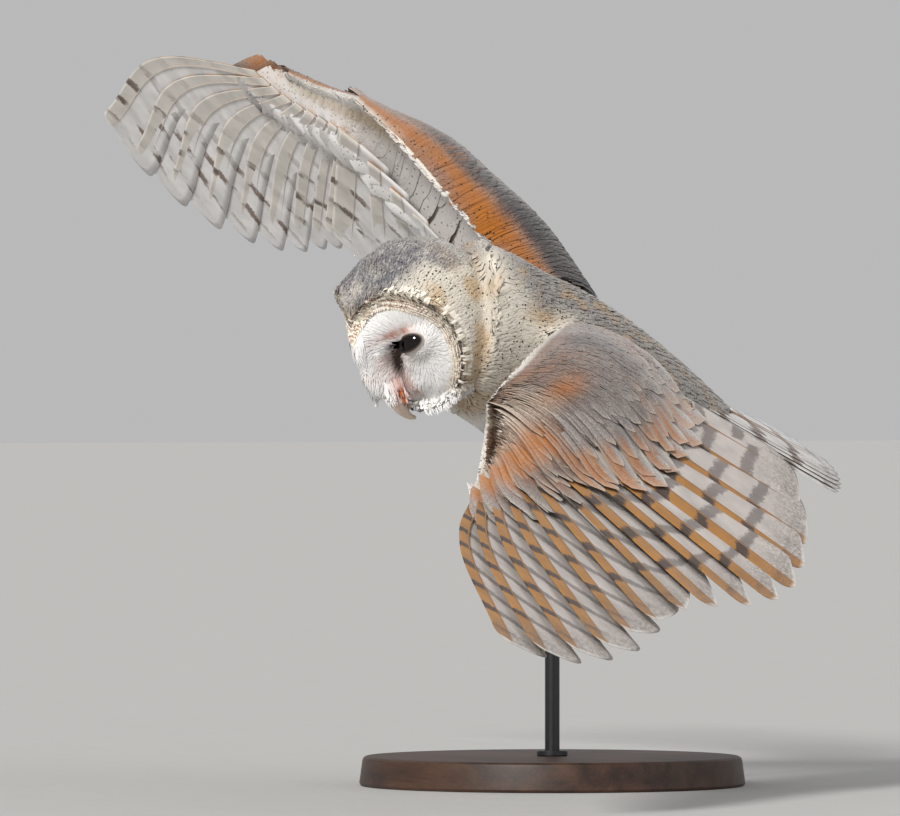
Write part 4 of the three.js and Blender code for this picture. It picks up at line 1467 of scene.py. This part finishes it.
def ruff_paint(spine, faces):
    """The ruff's colour, with no vermiculation and no spots."""
    tint = ruff_tint(to_head(spine))
    return tint, np.zeros(tint.shape[:-1]), np.zeros(tint.shape[:-1])


def streaked(spine, faces):
    """The markings drawn out along each feather from its root."""
    return markings(lerp(spine, spine[:, :1], 0.7), faces)


def loose(label, points, normals, way, length, half, bake, seed):
    """Downy feathers that hang free of the skin."""
    rng = np.random.default_rng(seed)
    n = len(points)
    length = length * rng.uniform(0.75, 1.15, n)
    way = unit(way + rng.normal(0, 0.12, (n, 3)))
    t = np.linspace(0, 1, 5)
    spine = points[:, None] + way[:, None] * (length[:, None] * t)[..., None]
    spine = spine + normals[:, None] * (1.2 * np.sin(np.pi * t**0.7))[None, :, None]
    face = tangent(normals, way)
    across = np.cross(face, way)
    faces = np.repeat(face[:, None], 5, 1)
    taper = np.sqrt(np.clip(1 - t**2.2, 0, 1)) * (0.6 + 0.4 * smooth(t, 0, 0.3))
    wide = np.broadcast_to(half * np.maximum(taper, 0.08), (n, 5))
    tint = np.broadcast_to(face_tint(to_head(points))[:, None, None], (n, 5, 1, 3))
    tint = tint * rng.uniform(0.94, 1.04, (n, 1, 1, 1))
    obj = vanes(label, spine, np.repeat(across[:, None], 5, 1), faces, np.stack([wide, wide], -1),
                tint, np.zeros((n, 5, 1)), bake(points), columns=(-1, 0, 1),
                materials=[finish("coat")], cup=0.1, melt=faces)
    return place_piece(obj, "plumage")


# ------------------------------------------------------------------ bill


def horn_loft(name, middle, half, deep, depth_way):
    """A half of the bill: ellipses along a curve in the head frame, closed to a blunt tip."""
    turns = np.linspace(0, 2 * np.pi, 33)[:-1]
    rings = middle[:, None] + np.cos(turns)[None, :, None] * half[:, None] * (1, 0, 0)
    rings = rings + np.sin(turns)[None, :, None] * deep[:, None] * depth_way[:, None]
    step = middle[-1] - middle[-2]
    for part in (0.5, 0.85, 0.98):
        shrink = math.sqrt(1 - part**2)
        tip = rings[len(middle) - 1] - middle[-1]
        ring = middle[-1] + tip * shrink + unit(step) * part * half[-1]
        rings = np.concatenate([rings, ring[None]])
    nostril = np.array([3.6, -22.5, -29.5])
    near = np.linalg.norm((rings - nostril) * (0.5, 1, 0.75), axis=-1)
    other = np.linalg.norm((rings - nostril * (-1, 1, 1)) * (0.5, 1, 0.75), axis=-1)
    pit = bell(np.minimum(near, other), 0, 1.3)
    rings = rings - np.sign(rings[..., :1]) * pit[..., None] * (0.9, 0, 0)
    tip = smooth(-rings[..., 2], 34, 43)
    tint = blend(colour("horn"), linear("#e6d8c6"), tip)
    # Painted shade: the nostril's pit is tinted dark brown, standing in for the shade inside the
    # opening.
    tint = blend(tint, linear("#4a2f27"), np.clip(pit * 1.2, 0, 1))
    return ring_surface(name, from_head(rings), tint, "horn", capped=True)


# ------------------------------------------------------------------ stage


CAMERA_BEARING = 51  # degrees round the stand from straight in front
LOOK_AT = (-13.0, -61.0, 205.1)
CAMERA_AWAY = 5000
LENS = 370


def camera_axes():
    a = math.radians(CAMERA_BEARING)
    return Vector((math.cos(a), math.sin(a), 0)), Vector((math.sin(a), -math.cos(a), 0))


def sun_light(name, source, strength, softness, tint):
    """A distant soft light that shines from a direction, with its softness in degrees."""
    data = bpy.data.lights.new(name, "SUN")
    data.energy = strength
    data.angle = math.radians(softness)
    data.color = tint
    obj = bpy.data.objects.new(name, data)
    obj.rotation_euler = (-source).to_track_quat("-Z", "Y").to_euler()
    bpy.context.scene.collection.objects.link(obj)


# ------------------------------------------------------------------ operators


class OWL_OT_skin(bpy.types.Operator):
    """Make the one skin under all the feathers"""

    bl_idname = "owl.skin"
    bl_label = "Skin"

    def execute(self, context):
        build_skin()
        return {"FINISHED"}


class OWL_OT_flight(bpy.types.Operator):
    """Make the flight feathers of both wings and the tail"""

    bl_idname = "owl.flight"
    bl_label = "Flight feathers"

    def execute(self, context):
        for label, wing in WINGS.items():
            primaries, secondaries = wing["flight"]
            inner = np.linspace(INNERMOST, WRIST - WRIST_GAP, secondaries)
            outer = np.linspace(WRIST + WRIST_GAP, 0.99, primaries)
            for part, q in (("secondaries", inner), ("primaries", outer)):
                row = flight_row(wing, q, hash_of(label + part))
                name = f"wing_{label}_{part}"
                swept = wing["swept"] * smooth(q, 0.1, 0.6) + 0.1
                fan_pieces(f"{label}_{part}", name, *row, tilt=0.04, seed=hash_of(name),
                           swept=swept)
        return {"FINISHED"}


class OWL_OT_tail(bpy.types.Operator):
    """Make the tail feathers"""

    bl_idname = "owl.tail"
    bl_label = "Tail"

    def execute(self, context):
        rows = 26
        turns = np.linspace(-TAIL_SPREAD / 2, TAIL_SPREAD / 2, RECTRICES)
        spine, across, face, half = [], [], [], []
        t = np.linspace(0.0, 1, rows)
        for k, degrees in enumerate(turns):
            way = turn("Z", -degrees) @ turn("X", TAIL_RAISE) @ np.array([0.0, 1, 0])
            side = turn("Z", -degrees) @ np.array([1.0, 0, 0])
            root = TAIL_ROOT + (degrees * 0.55, 0, -0.012 * degrees**2)
            length = TAIL_LENGTH - 0.03 * degrees**2
            stack = 0.35 * (len(turns) / 2 - abs(k - (len(turns) - 1) / 2))
            p = root + way * (length * t)[:, None] + np.array([0, 0, 1]) * (
                stack + 0.01 * length * t[:, None] ** 2
            )
            taper = np.sqrt(np.clip(1 - (1 - np.clip(length * (1 - t) / 13, 0, 1)) ** 2, 0, 1))
            spine.append(p)
            across.append(np.broadcast_to(side, p.shape))
            face.append(np.broadcast_to([0.0, 0, 1], p.shape))
            half.append(np.stack([11 * taper + 0.15, 11 * taper + 0.15], -1))
        arrays = [np.array(v) for v in (spine, across, face, half)]
        fan_pieces("tail_feathers", "tail", *arrays, tilt=0.0, seed=12, upper="tail")
        return {"FINISHED"}


class OWL_OT_coverts(bpy.types.Operator):
    """Make the coverts on both faces of both wings"""

    bl_idname = "owl.coverts"
    bl_label = "Wing coverts"

    def execute(self, context):
        for label, wing in WINGS.items():
            coverts(f"{label}_upper_coverts", wing, 1)
            coverts(f"{label}_under_coverts", wing, -1)
        return {"FINISHED"}


class OWL_OT_body_coat(bpy.types.Operator):
    """Make the small feathers of head, neck, trunk and thighs"""

    bl_idname = "owl.body_coat"
    bl_label = "Body coat"

    def execute(self, context):
        def on_head(p, n):
            h = to_head(p)
            return (from_middle(h) < 60) & (in_disc(h) < 0.4)

        def on_body(p, n):
            h, b = to_head(p), to_body(p)
            far = from_middle(h) >= 53
            return far & (np.abs(b[:, 0]) < 48 + 12 * (noise(p, 9, 6) - 0.5))

        def body_uv(p):
            return round_uv(to_body(p), 1, -60, 140)

        back = HEAD @ np.array([0, 1.0, -0.1])
        points, normals = sample_skin(1.25, on_head, 5)
        nape = smooth(from_middle(to_head(points)), 47, 59)
        coat("head_coat", points, normals, steadily(back),
             size("head_feather") + 3 * nape, lerp(1.0, 1.8, nape), neck_depth(points), head_uv,
             seed=2)
        down = BODY @ np.array([0, 1.0, 0.0])
        points, normals = sample_skin(1.7, on_body, 6)
        b = to_body(points)
        rear = smooth(b[:, 1], 0, 90)
        length = size("body_feather") * lerp(0.75, 1.7, rear)
        half = lerp(1.6, 3.0, rear)
        depth = neck_depth(points)
        upper = b[:, 2] > -20
        for label, keep in (("back_coat", upper), ("belly_coat", ~upper)):
            coat(label, points[keep], normals[keep], steadily(down),
                 length[keep], half[keep], depth[keep], body_uv, seed=3)
        return {"FINISHED"}


class OWL_OT_face(bpy.types.Operator):
    """Make the facial disc's bristles and the ruff round it"""

    bl_idname = "owl.face"
    bl_label = "Face"

    def execute(self, context):
        def on_face(p, n):
            h = to_head(p)
            side = np.where(h[:, :1] < 0, -1.0, 1.0)
            far = np.linalg.norm(h - EYE_CENTRE * np.hstack([side, side**2, side**2]), axis=1)
            off = np.where(side[:, 0] > 0, lid_distance(h, 1), lid_distance(h, -1))
            clear = (off > 1.4) | (far > 11.5)
            angle = np.arctan2(h[:, 2], h[:, 0])
            edge = disc_rim(angle)[0] - ruff_width(angle) + 0.5
            inside = np.linalg.norm(h[:, ::2], axis=1) < edge
            bill = (np.abs(h[:, 0]) < 5.5) & (h[:, 2] < -20)
            return (np.linalg.norm(h, axis=1) < 62) & clear & inside & (in_disc(h) > 0.3) & ~bill

        def sided(h, x, y, z):
            """A direction mirrored to the side of the head that each point is on."""
            side = np.where(h[:, 0] < 0, -1.0, 1.0)
            return np.stack([side * x, side * 0 + y, side * 0 + z], 1)

        def away_from_eye(p):
            h = to_head(p)
            out = unit(h - sided(h, *EYE_CENTRE))
            crest = unit(sided(h, 0.2, -0.5, -1.0))
            beside = unit(sided(h, 0.25, -0.1, -1.0))
            x, z = np.abs(h[:, 0]), h[:, 2]
            share = np.clip(1.3 * bell(x, 0, 6.5) * smooth(z, -34, -14), 0, 1)[:, None]
            low = (bell(x, 10, 6) * (1 - smooth(z, -14, -4)))[:, None]
            return lerp(lerp(out, beside, low), crest, share) @ HEAD.T

        points, normals = sample_skin(0.95, on_face, 9)
        h = to_head(points)
        crest = bell(h[:, 0], 0, 6) * (1 - smooth(h[:, 2], 20, 32)) * smooth(h[:, 2], -20, -12)
        reach = np.linalg.norm((np.abs(h) - EYE_CENTRE)[:, ::2], axis=1)
        base = 1 - smooth(np.abs(h[:, 0]), 6, 11)
        length = lerp(3.5, 8.5, smooth(reach, 8, 20)) + 2 * crest
        length = lerp(length, 4.5, base * (1 - smooth(h[:, 2], -18, -10)))
        coat("face_bristles", points, normals, away_from_eye, length, lerp(0.5, 0.6, crest),
             0.6 + 1.2 * crest, head_uv, seed=4, splay=8, cup=0.0, blunt=0.2,
             lift=(0.15 + 0.6 * crest)[:, None], paint=streaked)

        rows, turns = 9, 5

        def outward(p):
            flat = to_head(p) * (1, 0, 1)
            return (unit(flat) + np.array([0, 0.5, 0])) @ HEAD.T

        for row in range(turns):
            share = 0.93 * row / (turns - 1)
            count = 250 + 8 * row
            rng = np.random.default_rng(40 + row)
            angle = (np.arange(count) + rng.uniform(-0.25, 0.25, count)) * 2 * np.pi / count
            radius, back = disc_rim(angle)
            wave = 1.0 * (noise(np.stack([angle * 9, angle * 0 + row, angle * 0], -1), 1.0) - 0.5)
            wide = ruff_width(angle)
            radius = radius - wide + share * (wide - 1) + wave
            depth = back - 6 * (1 - share)
            ring = np.stack([np.cos(angle) * radius, depth, np.sin(angle) * radius], -1)
            points, normals = [], []
            for q in (from_head(ring) * MM).tolist():
                place, normal, _, _ = SKIN["tree"].find_nearest(q)
                points.append(np.array(place) / MM)
                normals.append(np.array(normal))
            points, normals = np.array(points), np.array(normals)

            coat(f"ruff_{row}", points, normals, outward, np.full(count, 4.4), 0.8, 2.0,
                 head_uv, rows=rows, seed=50 + row, splay=5, cup=0.2, lift=0.7,
                 paint=ruff_paint, blunt=0.6)

        def on_tuft(p, n):
            h = to_head(p)
            x = np.abs(h[:, 0])
            return (x > 4.5) & (x < 10) & (np.abs(h[:, 2] + 17) < 5) & (h[:, 1] < -20)

        def on_chin(p, n):
            h = to_head(p)
            rim = np.linalg.norm(h[:, ::2], axis=1) - disc_rim(np.arctan2(h[:, 2], h[:, 0]))[0]
            return (np.abs(rim + 2) < 4) & (h[:, 2] < -27) & (np.abs(h[:, 0]) > 9) & (h[:, 1] < 4)

        points, normals = sample_skin(0.9, on_tuft, 31)
        h = to_head(points)
        way = unit(sided(h, 0.45, -0.3, -1.0)) @ HEAD.T
        loose("bill_tuft", points, normals, way, 6.0, 0.5, head_uv, 32)
        points, normals = sample_skin(0.7, on_chin, 33)
        h = to_head(points)
        way = unit(sided(h, 0.12, -0.12, -1.0)) @ HEAD.T
        loose("chin_fluff", points, normals, way, 4.5, 0.5, head_uv, 34)
        return {"FINISHED"}


class OWL_OT_eyes_and_bill(bpy.types.Operator):
    """Make the eyes, their lids and the bill"""

    bl_idname = "owl.eyes_and_bill"
    bl_label = "Eyes and bill"

    def execute(self, context):
        for side, label in ((1, "left"), (-1, "right")):
            centre = EYE_CENTRE * (side, 1, 1)
            ball = bmesh.new()
            bmesh.ops.create_uvsphere(
                ball, u_segments=64, v_segments=32, radius=EYE_RADIUS * MM,
                matrix=Matrix.Translation(from_head(centre) * MM),
            )
            place_piece(bmesh_object(f"{label}_eye", ball, "eye"), "eye", f"eye_{label}")
            axis, along, up = eye_frame(side)
            profile = [(-0.7, 9.2), (-0.4, 9.7), (0.2, 10.1), (0.8, 10.3), (1.5, 10.2), (2.4, 9.3)]
            shades = ["#120d0b", "#1a1310", "#3d302c", "#8b7d77", "#bdb3ae", "#dcd6d1"]
            turns = np.linspace(0, 2 * np.pi, 73)[:-1]
            rings = []
            for (off, radius) in profile:
                e = (OPENING[0] + off) * np.cos(turns)
                f = (OPENING[1] + off) * np.sin(turns)
                away = np.hypot(e, f) / LID_RADIUS
                flat = (along * e[:, None] + up * f[:, None]) / (away * LID_RADIUS)[:, None]
                ray = axis * np.cos(away)[:, None] + flat * np.sin(away)[:, None]
                rings.append(from_head(centre + ray * radius))
            tint = np.repeat(np.array([linear(code) for code in shades])[:, None], len(turns), 1)
            tint = tint * lerp(0.1, 1, smooth(np.cos(turns), -0.85, -0.2))[None, :, None]
            lid = ring_surface(f"{label}_eyelid", np.array(rings), tint, "lid")
            place_piece(lid, "eye")
        t = np.linspace(0, 1, 30)[:, None]
        ridge = np.concatenate([0 * t, -29.5 + 12 * t**3.6, -12 - 30.4 * (1 - (1 - t) ** 1.15)], 1)
        along = unit(np.gradient(ridge, axis=0))
        inward = np.stack([along[:, 0], -along[:, 2], along[:, 1]], 1)
        half, deep = lerp(5.8, 0.9, t**1.6), lerp(8, 1.1, t**1.2)
        upper = horn_loft("upper_bill", ridge + inward * deep, half, deep, inward)
        place_piece(upper, "bill", "bill_upper")
        t = np.linspace(0, 1, 16)[:, None]
        middle = np.concatenate([0 * t, -10 - 6.5 * t, -21 - 13 * t], 1)
        way = np.broadcast_to([0, 1, -0.54], middle.shape)
        lower = horn_loft("lower_bill", middle, lerp(5, 1.8, t), 0 * t + 2.6, way)
        place_piece(lower, "bill", "bill_lower")
        return {"FINISHED"}


class OWL_OT_feet(bpy.types.Operator):
    """Make the legs' white feathering, the scaly toes and the claws"""

    bl_idname = "owl.feet"
    bl_label = "Feet"

    def execute(self, context):
        for label, places in LEGS.items():
            heel, foot = (np.array(p, float) + SHOULDERS for p in places)
            name = f"leg_{label}_foot"
            bare = remeshed(f"{label}_foot", joined([name]), FOOT_VOXEL, 3)
            dress(bare, "toes")
            place_piece(bare, "foot_skin", name)
            bm = bmesh.new()
            bm.from_mesh(bare.data)
            skin = {"mesh": bare.data, "tree": BVHTree.FromBMesh(bm)}
            bm.free()
            shank = unit(foot - heel)

            def on_shank(p, n, heel=heel, shank=shank, foot=foot):
                return dot(p - heel, shank)[:, 0] < np.linalg.norm(foot - heel) - 4

            def on_toes(p, n, foot=foot):
                above = n[:, 2] > 0.1
                return above & (np.linalg.norm(p - foot, axis=1) < 26) & (p[:, 2] < foot[2] + 6)

            def paint(spine, faces):
                shape = spine.shape[:2]
                cloud = noise(spine, 6, 4)
                tint = blend(colour("white"), colour("cream"), 0.5 * cloud)
                return tint, np.zeros(shape), np.zeros(shape)

            def leg_uv(p, heel=heel):
                return round_uv(p - heel, 2, -70, 20)

            points, normals = sample_skin(1.2, on_shank, 21, skin)
            coat(f"{label}_shank_feathers", points, normals,
                 steadily(shank), np.full(len(points), 7.5),
                 0.75, 1.8, leg_uv, seed=6, splay=9, cup=0.1, blunt=0.3, paint=paint, skin=skin)
            points, normals = sample_skin(2.1, on_toes, 22, skin)
            coat(f"{label}_toe_bristles", points, normals,
                 lambda p, foot=foot: unit((p - foot) * (1, 1, 0.3)), np.full(len(points), 4.5),
                 0.22, 0.5, leg_uv, seed=7, splay=14, cup=0.0, blunt=0.1, paint=paint, skin=skin)
            for toe in ("inner", "middle", "outer", "hind"):
                name = f"claw_{label}_{toe}"
                claw = remeshed(f"{label}_{toe}_claw", joined([name]), CLAW_VOXEL, 2)
                dress(claw, "claw")
                place_piece(claw, "claw", name)
        return {"FINISHED"}


class OWL_OT_stand(bpy.types.Operator):
    """Make the turned wooden base and the steel rod"""

    bl_idname = "owl.stand"
    bl_label = "Stand"

    def execute(self, context):
        base = [(0, 0), (103.4, 0), (104.4, 0.5), (104.9, 1.6), (103.3, 13.4), (102.8, 15.0),
                (101.4, 15.9), (99.6, 16), (0, 16)]
        place_piece(turned("wooden_base", base, 128, "wood"), "stand_wood", "stand_base")
        rod = [(0, 6.2), (4, 6.2), (4, 197.6), (0, 197.6)]
        place_piece(turned("rod", rod, 48, "steel"), "stand_rod", "stand_rod")
        collar = [(4.1, 16.05), (8.0, 16.05), (8.4, 16.5), (8.4, 18.4), (8.0, 19.0), (4.1, 19.0)]
        place_piece(turned("rod_collar", collar, 64, "steel"), "stand_rod")
        return {"FINISHED"}


class OWL_OT_stage(bpy.types.Operator):
    """Make the floor, the lights and the camera"""

    bl_idname = "owl.stage"
    bl_label = "Stage"

    def execute(self, context):
        bm = bmesh.new()
        bmesh.ops.create_grid(bm, x_segments=1, y_segments=1, size=40)
        mesh = bpy.data.meshes.new("floor")
        bm.to_mesh(mesh)
        bm.free()
        floor = bpy.data.objects.new("floor", mesh)
        # Painted board: a flat matt off-white.
        mesh.materials.append(
            plain_material("painted_board", linear("#b9b8b6"), 0.01, 40, Roughness=0.9)
        )
        context.scene.collection.objects.link(floor)
        right, toward = camera_axes()
        aim = Vector(LOOK_AT) * MM
        up = Vector((0, 0, 1))
        sun_light("key", -right * 0.5 + toward * 1.05 + up * 0.7, 3.1, 12, (1, 0.985, 0.96))
        sun_light("fill", right * 1.2 + toward * 0.5 + up * 0.5, 0.45, 60, (0.93, 0.96, 1))
        world = bpy.data.worlds.new("studio")
        world.use_nodes = True
        world.node_tree.nodes["Background"].inputs[0].default_value = rgba(linear("#dcdcdc"))
        world.node_tree.nodes["Background"].inputs[1].default_value = 0.68
        context.scene.world = world
        context.scene.view_settings.view_transform = "Standard"
        data = bpy.data.cameras.new("camera")
        data.lens = LENS
        data.sensor_width = 36
        data.clip_end = 100
        camera = bpy.data.objects.new("camera", data)
        camera.location = aim + toward * CAMERA_AWAY * MM
        camera.rotation_euler = (-toward).to_track_quat("-Z", "Y").to_euler()
        context.scene.collection.objects.link(camera)
        context.scene.camera = camera
        return {"FINISHED"}


OPERATORS = [
    OWL_OT_stage,
    OWL_OT_skin,
    OWL_OT_eyes_and_bill,
    OWL_OT_flight,
    OWL_OT_tail,
    OWL_OT_coverts,
    OWL_OT_body_coat,
    OWL_OT_face,
    OWL_OT_feet,
    OWL_OT_stand,
]


class OWL_PT_panel(bpy.types.Panel):
    """Lists the owl's pieces, sizes and colours"""

    bl_idname = "OWL_PT_panel"
    bl_label = "Barn owl"
    bl_space_type = "VIEW_3D"
    bl_region_type = "UI"
    bl_category = "Owl"

    def draw(self, context):
        for operator in OPERATORS:
            self.layout.operator(operator.bl_idname)
        for group in (context.scene.owl_sizes, context.scene.owl_colours):
            for key in group.__annotations__:
                self.layout.prop(group, key)


CLASSES = [OwlSizes, OwlColours, *OPERATORS, OWL_PT_panel]


def register():
    for item in CLASSES:
        bpy.utils.register_class(item)
    bpy.types.Scene.owl_sizes = bpy.props.PointerProperty(type=OwlSizes)
    bpy.types.Scene.owl_colours = bpy.props.PointerProperty(type=OwlColours)


def unregister():
    del bpy.types.Scene.owl_colours
    del bpy.types.Scene.owl_sizes
    for item in reversed(CLASSES):
        bpy.utils.unregister_class(item)


def main():
    register()
    for operator in OPERATORS:
        getattr(bpy.ops.owl, operator.bl_idname.split(".")[1])()


if __name__ == "__main__":
    main()
